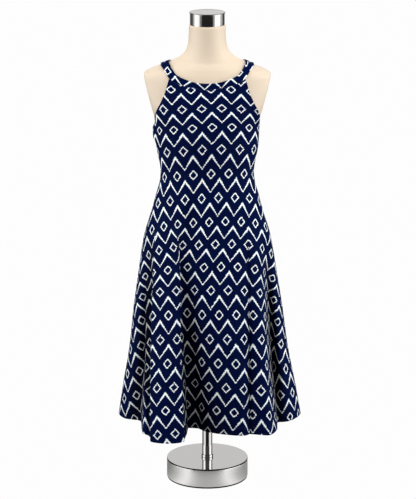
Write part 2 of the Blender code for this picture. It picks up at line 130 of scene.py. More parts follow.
# Folds once round the skirt: name, hip turn, hem x, hem y, hem drop, height where it fades out.
SKIRT_FOLDS = [
    ("left side seam", -90.0, -0.219, 0.000, 0.0, 0.62),
    ("left side ridge", -78.0, -0.204, -0.040, 0.0, 0.62),
    ("left valley", -69.0, -0.164, -0.064, 0.0, 0.63),
    ("left valley wall", -65.0, -0.161, -0.112, 0.0, 0.63),
    ("small lobe", -60.0, -0.152, -0.156, 0.0, 0.62),
    ("first ridge, outer edge", -55.0, -0.136, -0.186, 9 * MM, 0.64),
    ("first ridge", -40.0, -0.096, -0.198, 12 * MM, 0.64),
    ("first ridge, inner edge", -28.0, -0.061, -0.188, 11 * MM, 0.64),
    ("first ridge wall", -24.0, -0.051, -0.150, 4 * MM, 0.64),
    ("centre valley", -19.0, -0.047, -0.114, 0.0, 0.62),
    ("centre valley floor", -12.0, -0.024, -0.116, 0.0, 0.60),
    ("centre rise", -5.0, 0.000, -0.143, 0.0, 0.58),
    ("second ridge, inner edge", 6.0, 0.040, -0.163, 0.0, 0.58),
    ("second ridge", 22.0, 0.088, -0.175, 0.0, 0.58),
    ("shallow valley", 35.0, 0.120, -0.164, 0.0, 0.60),
    ("third ridge", 46.0, 0.148, -0.171, 0.0, 0.62),
    ("third ridge wall", 55.0, 0.169, -0.138, 0.0, 0.63),
    ("right valley", 62.0, 0.171, -0.086, 0.0, 0.63),
    ("right side ridge", 76.0, 0.207, -0.056, 0.0, 0.62),
    ("right side seam", 90.0, 0.231, 0.000, 0.0, 0.62),
    ("right back ridge", 104.0, 0.205, 0.050, 0.0, 0.62),
    ("right back valley", 116.0, 0.162, 0.072, 0.0, 0.63),
    ("right back wall", 123.0, 0.158, 0.120, 0.0, 0.63),
    ("back first ridge", 133.0, 0.128, 0.174, 4 * MM, 0.62),
    ("back first ridge, inner edge", 147.0, 0.084, 0.178, 4 * MM, 0.62),
    ("back first valley", 158.0, 0.056, 0.128, 0.0, 0.61),
    ("back centre ridge, outer edge", 171.0, 0.018, 0.166, 0.0, 0.60),
    ("back centre ridge", 185.0, -0.030, 0.178, 3 * MM, 0.60),
    ("back second valley", 200.0, -0.066, 0.134, 0.0, 0.61),
    ("back third ridge, inner edge", 213.0, -0.102, 0.180, 5 * MM, 0.62),
    ("back third ridge", 226.0, -0.142, 0.168, 5 * MM, 0.62),
    ("left back wall", 237.0, -0.162, 0.118, 0.0, 0.63),
    ("left back valley", 245.0, -0.163, 0.078, 0.0, 0.63),
    ("left back ridge", 257.0, -0.200, 0.048, 0.0, 0.62),
]

# Soft creases in the cloth: turn and height of both ends, width, depth (negative is a ridge).
CREASES = [
    (-86.0, 0.778, -38.0, 0.752, 0.0060, 1.1 * MM),
    (-88.0, 0.752, -46.0, 0.706, 0.0075, 1.3 * MM),
    (86.0, 0.792, 44.0, 0.764, 0.0060, 1.2 * MM),
    (88.0, 0.762, 36.0, 0.724, 0.0070, 1.2 * MM),
    (-80.0, 0.885, -50.0, 0.842, 0.0070, 1.2 * MM),
    (-94.0, 0.905, -84.0, 0.862, 0.0170, -6.5 * MM),
    (82.0, 0.880, 56.0, 0.930, 0.0060, 1.3 * MM),
    (78.0, 0.850, 40.0, 0.822, 0.0075, 0.9 * MM),
    (-26.0, 0.646, -20.0, 0.540, 0.0065, 1.6 * MM),
    (-66.0, 0.662, -62.0, 0.520, 0.0065, 1.5 * MM),
    (60.0, 0.664, 60.0, 0.500, 0.0070, 1.6 * MM),
    (34.0, 0.640, 36.0, 0.480, 0.0075, 1.2 * MM),
    (4.0, 0.650, 0.0, 0.520, 0.0100, 1.0 * MM),
    (-48.0, 0.690, -44.0, 0.560, 0.0100, -1.0 * MM),
    (-25.0, 0.770, -27.0, 0.600, 0.0110, -4.0 * MM),
    (-6.0, 0.740, -3.0, 0.580, 0.0110, -3.5 * MM),
    (48.0, 0.690, 48.0, 0.560, 0.0100, -1.0 * MM),
    (100.0, 0.782, 150.0, 0.756, 0.0065, 1.2 * MM),
    (96.0, 0.756, 136.0, 0.712, 0.0070, 1.2 * MM),
    (262.0, 0.790, 214.0, 0.762, 0.0065, 1.2 * MM),
    (264.0, 0.764, 226.0, 0.720, 0.0075, 1.1 * MM),
    (118.0, 0.664, 117.0, 0.510, 0.0070, 1.5 * MM),
    (158.0, 0.652, 159.0, 0.500, 0.0080, 1.4 * MM),
    (201.0, 0.650, 201.0, 0.500, 0.0080, 1.4 * MM),
    (244.0, 0.664, 245.0, 0.510, 0.0070, 1.5 * MM),
    (180.0, 0.900, 176.0, 0.800, 0.0140, 0.9 * MM),
    (112.0, 0.888, 136.0, 0.846, 0.0070, 1.1 * MM),
    (250.0, 0.884, 222.0, 0.850, 0.0070, 1.1 * MM),
]

# Troughs where the skirt hangs free: side it lies on, (height, x) line, (height, depth) along
# it (negative is a lobe), and how softly it rises towards the left and the right of the picture.
TROUGHS = [
    ("front", [(0.164, -0.1600), (0.30, -0.1570), (0.45, -0.1550)],
     [(0.164, -0.030), (0.22, -0.024), (0.32, 0.0)],
     0.005, 0.010),
    ("front", [(0.164, -0.1490), (0.30, -0.1460), (0.45, -0.1430), (0.60, -0.1400)],
     [(0.164, 0.010), (0.21, 0.026), (0.30, 0.044), (0.45, 0.034), (0.56, 0.014), (0.63, 0.0)],
     0.013, 0.008),
    ("front", [(0.164, 0.1020), (0.30, 0.1010), (0.45, 0.1010), (0.60, 0.0990)],
     [(0.164, 0.010), (0.25, 0.016), (0.42, 0.012), (0.55, 0.005), (0.62, 0.0)],
     0.008, 0.013),
    ("front", [(0.164, 0.1700), (0.24, 0.1660), (0.33, 0.1590), (0.43, 0.1530), (0.60, 0.1460)],
     [(0.164, 0.010), (0.21, 0.026), (0.30, 0.042), (0.45, 0.034), (0.56, 0.014), (0.63, 0.0)],
     0.010, 0.012),
    ("front", [(0.164, -0.0350), (0.30, -0.0400), (0.45, -0.0430), (0.60, -0.0480)],
     [(0.164, 0.0), (0.25, 0.002), (0.40, 0.008), (0.52, 0.009), (0.62, 0.0)],
     0.012, 0.020),
    ("back", [(0.164, -0.158), (0.30, -0.150), (0.60, -0.143)],
     [(0.164, 0.0), (0.22, 0.014), (0.32, 0.026), (0.47, 0.020), (0.62, 0.0)],
     0.012, 0.009),
    ("back", [(0.164, 0.160), (0.30, 0.152), (0.60, 0.144)],
     [(0.164, 0.0), (0.22, 0.014), (0.32, 0.024), (0.47, 0.018), (0.62, 0.0)],
     0.009, 0.012),
    ("back", [(0.164, 0.052), (0.40, 0.050), (0.60, 0.046)],
     [(0.164, 0.0), (0.25, 0.008), (0.42, 0.012), (0.55, 0.006), (0.62, 0.0)],
     0.012, 0.012),
    ("back", [(0.164, -0.064), (0.40, -0.060), (0.60, -0.054)],
     [(0.164, 0.0), (0.25, 0.006), (0.42, 0.011), (0.55, 0.006), (0.62, 0.0)],
     0.012, 0.012),
]

# Tucks, where one fold lies over the next: side, which cloth lies on top, (height, x) line,
# (height, half the overlap) along it.
TUCKS = [
    ("front", "right", [(0.164, -0.1370), (0.30, -0.1360), (0.45, -0.1330), (0.60, -0.1290)],
     [(0.164, 0.006), (0.30, 0.007), (0.48, 0.006), (0.56, 0.004), (0.63, 0.0)]),
    ("front", "left", [(0.164, -0.0560), (0.25, -0.0620), (0.36, -0.0670), (0.60, -0.0695)],
     [(0.164, 0.002), (0.25, 0.005), (0.36, 0.007), (0.50, 0.010), (0.58, 0.008), (0.66, 0.0)]),
    ("front", "right", [(0.164, 0.1060), (0.30, 0.1050), (0.45, 0.1040), (0.60, 0.1020)],
     [(0.164, 0.003), (0.30, 0.005), (0.45, 0.004), (0.56, 0.004), (0.62, 0.003), (0.66, 0.0)]),
    ("back", "right", [(0.164, 0.068), (0.36, 0.064), (0.60, 0.058)],
     [(0.164, 0.003), (0.30, 0.006), (0.48, 0.005), (0.62, 0.0)]),
    ("back", "left", [(0.164, -0.082), (0.36, -0.078), (0.60, -0.070)],
     [(0.164, 0.003), (0.30, 0.006), (0.48, 0.005), (0.62, 0.0)]),
]
TUCK_REACH = 30 * MM
TUCK_STACK = 2.6 * MM
TUCK_FULL = 4 * MM
TUCK_SOFTNESS = 0.32
TUCK_LEAST_SOFTNESS = 0.9 * MM
TUCK_TURNS = (-56.0, -27.5, 33.5, 153.0, 206.0)

# Cut edges: turn from the centre front or back against height.
ARMHOLE = [(0.895, 90.0), (0.910, 82.0), (0.925, 72.5), (0.943, 59.5),
           (0.966, 46.5), (0.995, 37.3), (ARMHOLE_TOP, 33.0)]
ARMHOLE_CORNER = ARMHOLE[-1][1]
STRAP_LOWER = [(33.0, ARMHOLE_TOP), (38.0, 1.0330), (48.0, 1.0410), (67.0, 1.0470),
               (90.0, 1.0497)]
FRONT_BAND_LOWER = [(0.0, 1.0000), (12.4, 1.0063), (19.0, 1.0095), (25.0, 1.0150)] + STRAP_LOWER
FRONT_BAND_UPPER = [(0.0, 1.0157), (7.2, 1.0173), (14.1, 1.0220), (18.4, 1.0256),
                    (23.0, 1.0298), (28.1, 1.0349), (34.0, 1.0408), (43.3, 1.0464),
                    (57.8, 1.0526), (90.0, 1.0580)]
BACK_BAND_LOWER = [(0.0, 1.0120), (12.4, 1.0150), (19.0, 1.0170), (25.0, 1.0200)] + STRAP_LOWER
BACK_BAND_UPPER = [(0.0, 1.0290), (7.2, 1.0300), (14.1, 1.0325), (18.4, 1.0345),
                   (23.0, 1.0370), (28.1, 1.0400), (34.0, 1.0435), (43.3, 1.0480),
                   (57.8, 1.0530), (90.0, 1.0580)]
# Turn of the band's upper edge for the turn of its lower edge.
BAND_ACROSS = [(0.0, 0.0), (25.0, 22.5), (33.0, 30.5), (48.0, 44.0), (67.0, 63.0),
               (90.0, 90.0)]

# Rows of diamonds from the neckline down, on the flat cut of the front: how far up from the hem
# the row lies, where the column of diamonds nearest the centre crosses it, and their spacing.
PRINT_ROWS = [
    # up, centre, spacing
    (0.8440, 0.0085, 0.0469),
    (0.8000, 0.0079, 0.0466),
    (0.7560, 0.0068, 0.0470),
    (0.7020, 0.0030, 0.0468),
    (0.6370, -0.0015, 0.0462),
    (0.5730, -0.0074, 0.0440),
    (0.5110, -0.0122, 0.0417),
    (0.4540, -0.0200, 0.0418),
    (0.3980, -0.0288, 0.0418),
    (0.3410, -0.0335, 0.0413),
    (0.2815, -0.0352, 0.0410),
    (0.2240, -0.0375, 0.0409),
    (0.1670, -0.0380, 0.0408),
    (0.1100, -0.0392, 0.0413),
    (0.0560, -0.0392, 0.0418),
    (0.0010, -0.0392, 0.0420),
]
PRINT_EXTRA_ROWS = 3
# How far the print of the first ridge lies sideways, by height up the flat cut.
FIRST_RIDGE_SHIFT = [
    (0.0, 0.0260), (0.058, 0.0200), (0.110, 0.0145), (0.167, 0.0045), (0.224, -0.0060),
    (0.2815, -0.0110), (0.341, -0.0160), (0.398, -0.0190), (0.454, -0.0100), (0.500, 0.0),
]
# Where the print jumps at three of the front's tucks: side of the tuck that moves (-1 is left),
# the tuck's edge as (height, turn), softness in degrees, then (up, shift).
PRINT_JUMPS = [
    (-1, [(0.164, -55.3), (0.32, -56.2), (0.45, -55.6), (0.60, -54.9)], 1.2, FIRST_RIDGE_SHIFT),
    (-1, [(0.164, -27.3), (0.65, -27.0)], 1.6, [(up, -shift) for up, shift in FIRST_RIDGE_SHIFT]),
    (1, [(0.164, 28.8), (0.25, 30.5), (0.32, 32.7), (0.40, 34.9), (0.48, 36.5), (0.55, 37.8),
         (0.65, 38.0)], 1.8,
     [(0.0, 0.0150), (0.224, 0.0170), (0.341, 0.0090), (0.398, 0.0100), (0.454, 0.0050),
      (0.490, 0.0)]),
]
# How fast rows sink towards each side, per square metre of distance from the centre, by height
# up the flat cut, and how far from the centre they still do.
PRINT_SINK_LEFT = [(0.0, -0.25), (0.30, -0.25), (0.45, 0.4), (0.76, 0.4), (0.84, -0.7),
                   (0.9, -0.7)]
PRINT_SINK_RIGHT = [(0.0, 0.2), (0.20, 0.2), (0.38, 1.0), (0.9, 1.0)]
PRINT_SINK_REACH = 0.20

# The neckband's print: (x, column) across it. Then the height of its middle row of zigzags in
# front, how much higher that lies at the straps and how far out they are, and the rows' pitch.
BAND_COLUMNS = [(-0.160, -4.0), (-0.128, -3.4), (-0.095, -2.5), (-0.058, -1.5), (-0.007, -0.5),
                (0.034, 0.5), (0.076, 1.5), (0.110, 2.5), (0.140, 3.4), (0.170, 4.0)]
BAND_PRINT_HEIGHT = 1.0115
BAND_PRINT_RISE = 0.0120
BAND_STRAP_REACH = 0.1
BAND_PRINT_PITCH = 0.0385
FRONT_BAND_HEIGHT = 1.008

# Depth in a fold at which the painted fold shade is full, by height.
HOLLOW_DEPTHS = [(0.164, 0.036), (0.54, 0.030), (0.64, 0.007), (0.74, 0.005), (0.82, 0.010),
                 (1.10, 0.010)]
# That depth is measured straight back from the outline; its steep sides count as this slanted.
LEAST_SLANT = 0.45

# Fineness of the cloth.
PANEL_COLUMNS = 260
SKIRT_ROWS_TOP = 0.62
SKIRT_ROWS = 76
WAIST_ROWS = 56
BODICE_ROWS = 30
BAND_MIDDLE_COLUMNS = 120
BAND_STRAP_COLUMNS = 40
BAND_ROWS = 8


# ------------------------------------------------------------------ curves and surfaces
def smooth(rows, x):
    """Values at x of a smooth curve through rows of (x, value) that never overshoots them."""
    table = np.array(rows, dtype=float)
    xs, ys = table[:, 0], table[:, 1]
    steps = np.diff(xs)
    slopes = np.diff(ys) / steps
    before = 2 * steps[1:] + steps[:-1]
    after = steps[1:] + 2 * steps[:-1]
    with np.errstate(divide="ignore", invalid="ignore"):
        inner = (before + after) / (before / slopes[:-1] + after / slopes[1:])
    inner = np.where(slopes[:-1] * slopes[1:] > 0, inner, 0.0)
    tangents = np.concatenate(([slopes[0]], inner, [slopes[-1]]))
    x = np.clip(x, xs[0], xs[-1])
    i = np.clip(np.searchsorted(xs, x, side="right") - 1, 0, len(xs) - 2)
    t = (x - xs[i]) / steps[i]
    start = ys[i] * (1 + 2 * t) * (1 - t) ** 2 + tangents[i] * steps[i] * t * (1 - t) ** 2
    end = ys[i + 1] * t * t * (3 - 2 * t) + tangents[i + 1] * steps[i] * t * t * (t - 1)
    return start + end


def columns_of(table, key_column, value_columns):
    """One list of (key, value) rows for each of a table's value columns."""
    return [[(row[key_column], row[c]) for row in table] for c in value_columns]


FORM_CURVES = columns_of(FORM_SECTIONS, 0, (1, 2, 3, 4))
DRESS_CURVES = columns_of(
    SKIRT_SECTIONS + [row for row in FORM_SECTIONS if row[0] >= SKIRT_TOP], 0, (1, 2, 3, 4))
FOLDS_ONCE_ROUND = (
    [(row[0], row[1] - 360.0) + row[2:] for row in SKIRT_FOLDS[-3:]]
    + SKIRT_FOLDS
    + [(row[0], row[1] + 360.0) + row[2:] for row in SKIRT_FOLDS[:4]]
)
FOLD_CURVES = columns_of(FOLDS_ONCE_ROUND, 1, (2, 3, 4, 5))


def signed_turn(turns):
    """Turns brought between -180 and 180 degrees."""
    return (turns + 180.0) % 360.0 - 180.0


def section_points(curves, turns, heights):
    """Points of horizontal sections: ellipses, squared up, deeper in front or behind."""
    half_width, front, back, squareness = [smooth(rows, heights) for rows in curves]
    across = np.sin(np.radians(turns))
    along = -np.cos(np.radians(turns))
    power = 2.0 / squareness
    depth = np.where(along < 0.0, front, back)
    x = np.sign(across) * np.abs(across) ** power * half_width
    y = np.sign(along) * np.abs(along) ** power * depth
    return np.stack([x, y, heights + 0.0 * x], axis=-1)


def hanging_points(turns, heights):
    """Points of the dress before it is moved out to the middle of its wall, folds and all."""
    turns = (turns + 90.0) % 360.0 - 90.0
    points = section_points(DRESS_CURVES, turns, heights)
    hem_x, hem_y, drop, fold_top = [smooth(rows, turns) for rows in FOLD_CURVES]
    growth = np.clip((fold_top - heights) / (fold_top - HEM_HEIGHT), 0.0, None) ** FOLD_GROWTH
    plain_hem = section_points(DRESS_CURVES, turns, np.full_like(turns, HEM_HEIGHT))
    points[..., 0] += growth * (hem_x - plain_hem[..., 0])
    points[..., 1] += growth * (hem_y - plain_hem[..., 1])
    points[..., 2] -= growth * growth * drop
    return points


# The creases are laid out on a plain cylinder, and fade out beyond a share of their length.
CREASE_RADIUS = 0.12
CREASE_FULL_SHARE = 0.22
CREASE_FADE = 0.05


def crease_depth(turns, heights):
    """How far the soft creases press the cloth in at each turn and height."""
    depth_in = np.zeros_like(turns)
    for turn_a, height_a, turn_b, height_b, width, depth in CREASES:
        run = np.array([math.radians(turn_b - turn_a) * CREASE_RADIUS, height_b - height_a])
        x = np.radians(signed_turn(turns - turn_a)) * CREASE_RADIUS
        z = heights - height_a
        along = (x * run[0] + z * run[1]) / run.dot(run)
        beside = (x * run[1] - z * run[0]) / np.linalg.norm(run)
        past = np.clip(np.abs(along - 0.5) - CREASE_FULL_SHARE, 0.0, None)
        depth_in += depth * np.exp(-past ** 2 / CREASE_FADE - (beside / width) ** 2)
    return depth_in


def directions_out(place, turns, heights, turn_step, height_step):
    """Outward directions of a surface that is given as a function of turns and heights."""
    low = np.maximum(heights - height_step, HEM_HEIGHT)
    around = place(turns + turn_step, heights) - place(turns - turn_step, heights)
    up = place(turns, heights + height_step) - place(turns, low)
    outward = np.cross(around, up)
    return outward / np.linalg.norm(outward, axis=-1, keepdims=True)


def lay_folds(points, turns):
    """Presses in the troughs and lays over the tucks of the free-hanging skirt."""
    front = np.abs(signed_turn(turns)) < 90.0
    inward = np.where(front, 1.0, -1.0)
    x, z = points[..., 0].copy(), points[..., 2].copy()
    hanging = z < SKIRT_FREE
    for side, line, depths, soft_left, soft_right in TROUGHS:
        here = hanging & (front if side == "front" else ~front)
        beside = x - smooth(line, z)
        share = np.exp(-((beside / np.where(beside < 0.0, soft_left, soft_right)) ** 2))
        points[..., 1] += np.where(here, inward * smooth(depths, z) * share, 0.0)
    for side, on_top, line, overlaps in TUCKS:
        here = hanging & (front if side == "front" else ~front)
        beside = x - smooth(line, z)
        overlap = np.where(here, smooth(overlaps, z), 0.0)
        softness = TUCK_SOFTNESS * overlap + TUCK_LEAST_SOFTNESS
        lean = np.tanh(beside / softness) * np.exp(-((beside / TUCK_REACH) ** 2))
        stack = lean if on_top == "left" else -lean
        points[..., 0] -= overlap * lean
        points[..., 1] += inward * stack * TUCK_STACK * np.clip(overlap / TUCK_FULL, 0.0, 1.0)
    return points


def middle_points(turns, heights, lift=0.0):
    """Middle of the cloth's wall with its creases and folds."""
    outward = directions_out(hanging_points, turns, heights, 0.4, 0.8 * MM)
    pressed = np.clip(crease_depth(turns, heights), None, DEEPEST_CREASE)
    reach = CLOTH_MIDDLE + lift - pressed
    return lay_folds(hanging_points(turns, heights) + outward * reach[..., None], turns)


def cloth_points(turns, heights):
    """Middle of the cloth's wall, and the directions that point out of it."""
    outward = directions_out(middle_points, turns, heights, 0.05, 0.4 * MM)
    return middle_points(turns, heights), outward


# Columns are even on average over these heights, and this much closer near a tuck.
EVEN_HEIGHTS = (HEM_HEIGHT, 0.30, 0.45, UNDERARM_HEIGHT)
TUCK_CLOSENESS = 2.2
TUCK_CLOSE_TURN = 5.0


def even_turns(start, end, count):
    """Turns from start to end, even along the hem and the bust and closer at the tucks."""
    fine = np.linspace(start, end, 4001)
    steps = 0.0
    for height in EVEN_HEIGHTS:
        level = middle_points(fine, np.full_like(fine, height))
        steps = steps + np.linalg.norm(np.diff(level, axis=0), axis=1)
    middles = (fine[1:] + fine[:-1]) / 2
    for turn in TUCK_TURNS:
        away = signed_turn(middles - turn)
        steps = steps * (1.0 + TUCK_CLOSENESS * np.exp(-((away / TUCK_CLOSE_TURN) ** 2)))
    lengths = np.concatenate(([0.0], np.cumsum(steps)))
    return np.interp(np.linspace(0.0, lengths[-1], count + 1), lengths, fine)


def panel_grid(centre, band_lower):
    """Turns and heights of a panel: level rows to the underarm, then rows between armholes."""
    half = PANEL_COLUMNS // 2
    turns = np.concatenate((even_turns(centre - 90.0, centre, half),
                            even_turns(centre, centre + 90.0, half)[1:]))
    levels = np.concatenate((
        np.linspace(HEM_HEIGHT, SKIRT_ROWS_TOP, SKIRT_ROWS, endpoint=False),
        np.linspace(SKIRT_ROWS_TOP, UNDERARM_HEIGHT, WAIST_ROWS + 1)))
    lower_turns = np.repeat(turns[None, :], len(levels), axis=0)
    lower_heights = np.repeat(levels[:, None], len(turns), axis=1)
    shares = (turns - centre) / 90.0
    parts = np.linspace(0.0, 1.0, BODICE_ROWS + 1)[1:]
    edge_heights = UNDERARM_HEIGHT + (ARMHOLE_TOP - UNDERARM_HEIGHT) * parts
    edge_turns = smooth(ARMHOLE, edge_heights)
    top = smooth(band_lower, np.abs(shares) * ARMHOLE_CORNER)
    upper_turns = centre + shares[None, :] * edge_turns[:, None]
    upper_heights = UNDERARM_HEIGHT + (top[None, :] - UNDERARM_HEIGHT) * parts[:, None]
    return np.vstack((lower_turns, upper_turns)), np.vstack((lower_heights, upper_heights))


def band_grid(centre, band_lower, band_upper):
    """Turns and heights of a neckband, strap end to strap end, lower edge to upper edge."""
    middle = np.linspace(-ARMHOLE_CORNER, ARMHOLE_CORNER, BAND_MIDDLE_COLUMNS + 1)
    strap = np.linspace(ARMHOLE_CORNER, 90.0, BAND_STRAP_COLUMNS + 1)[1:]
    turns = np.concatenate((-strap[::-1], middle, strap))
    size = np.abs(turns)
    upper_size = smooth(BAND_ACROSS, size)
    low = smooth(band_lower, size)
    high = smooth(band_upper, upper_size)
    across = np.linspace(0.0, 1.0, BAND_ROWS + 1)[:, None]
    here = np.sign(turns) * (size + (upper_size - size) * across)
    return centre + here, low + (high - low) * across


# ------------------------------------------------------------------ meshes
def make_active(obj):
    """Selects one object alone."""
    bpy.ops.object.select_all(action="DESELECT")
    obj.select_set(True)
    bpy.context.view_layer.objects.active = obj


def mesh_object(name, corners, edges, faces):
    """Object with a new mesh, linked to the scene."""
    mesh = bpy.data.meshes.new(name)
    mesh.from_pydata(corners, edges, faces)
    obj = bpy.data.objects.new(name, mesh)
    bpy.context.scene.collection.objects.link(obj)
    return obj


def face_corners(mesh):
    """Vertex number of each corner of each face."""
    corners = np.empty(len(mesh.loops), dtype=np.int64)
    mesh.loops.foreach_get("vertex_index", corners)
    return corners


def sheet_object(name, points, uv_maps):
    """Sheet of quads through a grid of points, with named UV maps given as grids."""
    rows, columns = points.shape[:2]
    index = np.arange(rows * columns).reshape(rows, columns)
    quads = np.stack((index[:-1, :-1], index[:-1, 1:], index[1:, 1:], index[1:, :-1]), axis=-1)
    obj = mesh_object(name, points.reshape(-1, 3).tolist(), [], quads.reshape(-1, 4).tolist())
    corners = face_corners(obj.data)
    for map_name, grid in uv_maps.items():
        layer = obj.data.uv_layers.new(name=map_name)
        layer.data.foreach_set("uv", grid.reshape(-1, 2)[corners].astype(np.float32).ravel())
    return obj


def stand_for(obj, node):
    """A finished piece takes the place of a node."""
    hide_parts(node)
    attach(obj, BODY)


def thicken(obj, thickness):
    """Gives a sheet its wall and smooths its shading."""
    make_active(obj)
    wall = obj.modifiers.new("Wall", "SOLIDIFY")
    wall.thickness = thickness
    wall.offset = 0.0
    wall.use_even_offset = False
    wall.use_quality_normals = True
    bpy.ops.object.modifier_apply(modifier=wall.name)
    bpy.ops.object.shade_smooth_by_angle(angle=math.radians(55))


def run_lengths(line):
    """Distance along a line of points, from its first one."""
    steps = np.linalg.norm(np.diff(line, axis=0), axis=-1)
    return np.concatenate(([0.0], np.cumsum(steps)))


def flat_cut(points):
    """The panel laid flat: metres across from the centre line and up from the hem."""
    obj = sheet_object("flat_pattern", points, {"flat": np.zeros(points.shape[:2] + (2,))})
    make_active(obj)
    bpy.ops.object.mode_set(mode="EDIT")
    bpy.ops.mesh.select_all(action="SELECT")
    bpy.ops.uv.unwrap(method="ANGLE_BASED", fill_holes=False, margin=0.0)
    bpy.ops.object.mode_set(mode="OBJECT")
    mesh = obj.data
    rows, columns = points.shape[:2]
    values = np.empty(len(mesh.loops) * 2, dtype=np.float32)
    mesh.uv_layers["flat"].data.foreach_get("uv", values)
    flat = np.zeros((rows * columns, 2))
    flat[face_corners(mesh)] = values.reshape(-1, 2)
    flat = flat.reshape(rows, columns, 2)
    bpy.data.objects.remove(obj, do_unlink=True)
    bpy.data.meshes.remove(mesh)
    middle = columns // 2
    line = flat[-1, middle] - flat[0, middle]
    real = run_lengths(points[:, middle])[-1]
    drawn = run_lengths(flat[:, middle])[-1]
    up = line / np.linalg.norm(line)
    right = np.array([up[1], -up[0]])
    away = (flat - flat[0, middle]) * real / drawn
    across = away @ right
    if across[0, -1] < across[0, 0]:
        across = -across
    return np.stack((across, away @ up), axis=-1)


def soft_step(values, width):
    """0 below zero, 1 above it, softly over a width."""
    share = np.clip(values / width + 0.5, 0.0, 1.0)
    return share * share * (3.0 - 2.0 * share)


def print_places(flat, turns, heights, is_back):
    """Place in the print for points of the flat cut: columns across, rows down."""
    across, up = flat[..., 0], flat[..., 1]
    sink = np.where(across < 0.0, smooth(PRINT_SINK_LEFT, up), smooth(PRINT_SINK_RIGHT, up))
    level = up + sink * np.clip(across, -PRINT_SINK_REACH, PRINT_SINK_REACH) ** 2
    rows_up, centres, spacings = np.array(PRINT_ROWS).T
    numbers = np.arange(len(PRINT_ROWS), dtype=float)
    top = rows_up[0] + PRINT_EXTRA_ROWS * (rows_up[0] - rows_up[1])
    foot = rows_up[-1] - PRINT_EXTRA_ROWS * (rows_up[-2] - rows_up[-1])
    known_rows = np.concatenate(([-PRINT_EXTRA_ROWS], numbers, [numbers[-1] + PRINT_EXTRA_ROWS]))
    row = np.interp(-level, -np.concatenate(([top], rows_up, [foot])), known_rows)
    centre = np.zeros_like(across)
    if not is_back:
        centre = np.interp(row, numbers, centres)
        for side, edge, softness, shifts in PRINT_JUMPS:
            beyond = soft_step(side * (turns - smooth(edge, heights)), softness)
            centre = centre + beyond * smooth(shifts, up)
    return np.stack(((across - centre) / np.interp(row, numbers, spacings), row), axis=-1)


def outline_of(row):
    """Corners of the tightest outline round the points of a row, seen from above."""
    corners = sorted((float(x), float(y)) for x, y, _ in row)
    outline = []
    for run in (corners, corners[::-1]):
        chain = []
        for corner in run:
            while len(chain) > 1 and (
                    (chain[-1][0] - chain[-2][0]) * (corner[1] - chain[-2][1])
                    <= (chain[-1][1] - chain[-2][1]) * (corner[0] - chain[-2][0])):
                chain.pop()
            chain.append(corner)
        outline += chain[:-1]
    return np.array(outline)


def hollow_places(points):
    """How deep each point lies in a fold, 0 to 1, from the outline of its own row."""
    hollow = np.zeros(points.shape[:2] + (2,))
    for k, row in enumerate(points):
        outline = outline_of(row)
        edges = np.roll(outline, -1, axis=0) - outline
        lengths = np.linalg.norm(edges, axis=1)
        slant = np.maximum(np.abs(edges[:, 0]) / lengths, LEAST_SLANT)
        away = row[:, None, :2] - outline
        inside = (edges[:, 0] * away[..., 1] - edges[:, 1] * away[..., 0]) / (lengths * slant)
        full = smooth(HOLLOW_DEPTHS, row[:, 2].mean())
        hollow[k, :, 0] = np.clip(inside.min(axis=1) / full, 0.0, 1.0)
    return hollow


# ------------------------------------------------------------------ shader expressions
class Value:
    """A shader value that is written with in plain arithmetic."""

    def __init__(self, shader, socket):
        self.shader = shader
        self.socket = socket

    def math(self, operation, *others):
        """Math node on this value and others."""
        made = self.shader.node("ShaderNodeMath", {"operation": operation},
                                dict(enumerate((self,) + others)))
        return Value(self.shader, made.outputs[0])

    def __add__(self, other):
        return self.math("ADD", other)

    __radd__ = __add__

    def __mul__(self, other):
        return self.math("MULTIPLY", other)

    __rmul__ = __mul__

    def __sub__(self, other):
        return self.math("SUBTRACT", other)

    def __rsub__(self, other):
        return (self * -1.0).math("ADD", other)

    def __truediv__(self, other):
        return self.math("DIVIDE", other)

    def __pow__(self, other):
        return self.math("POWER", other)

    def __abs__(self):
        return self.math("ABSOLUTE")

    def floor(self):
        return self.math("FLOOR")

    def fraction(self):
        return self.math("FRACT")

    def least(self, other):
        return self.math("MINIMUM", other)

    def most(self, other):
        return self.math("MAXIMUM", other)


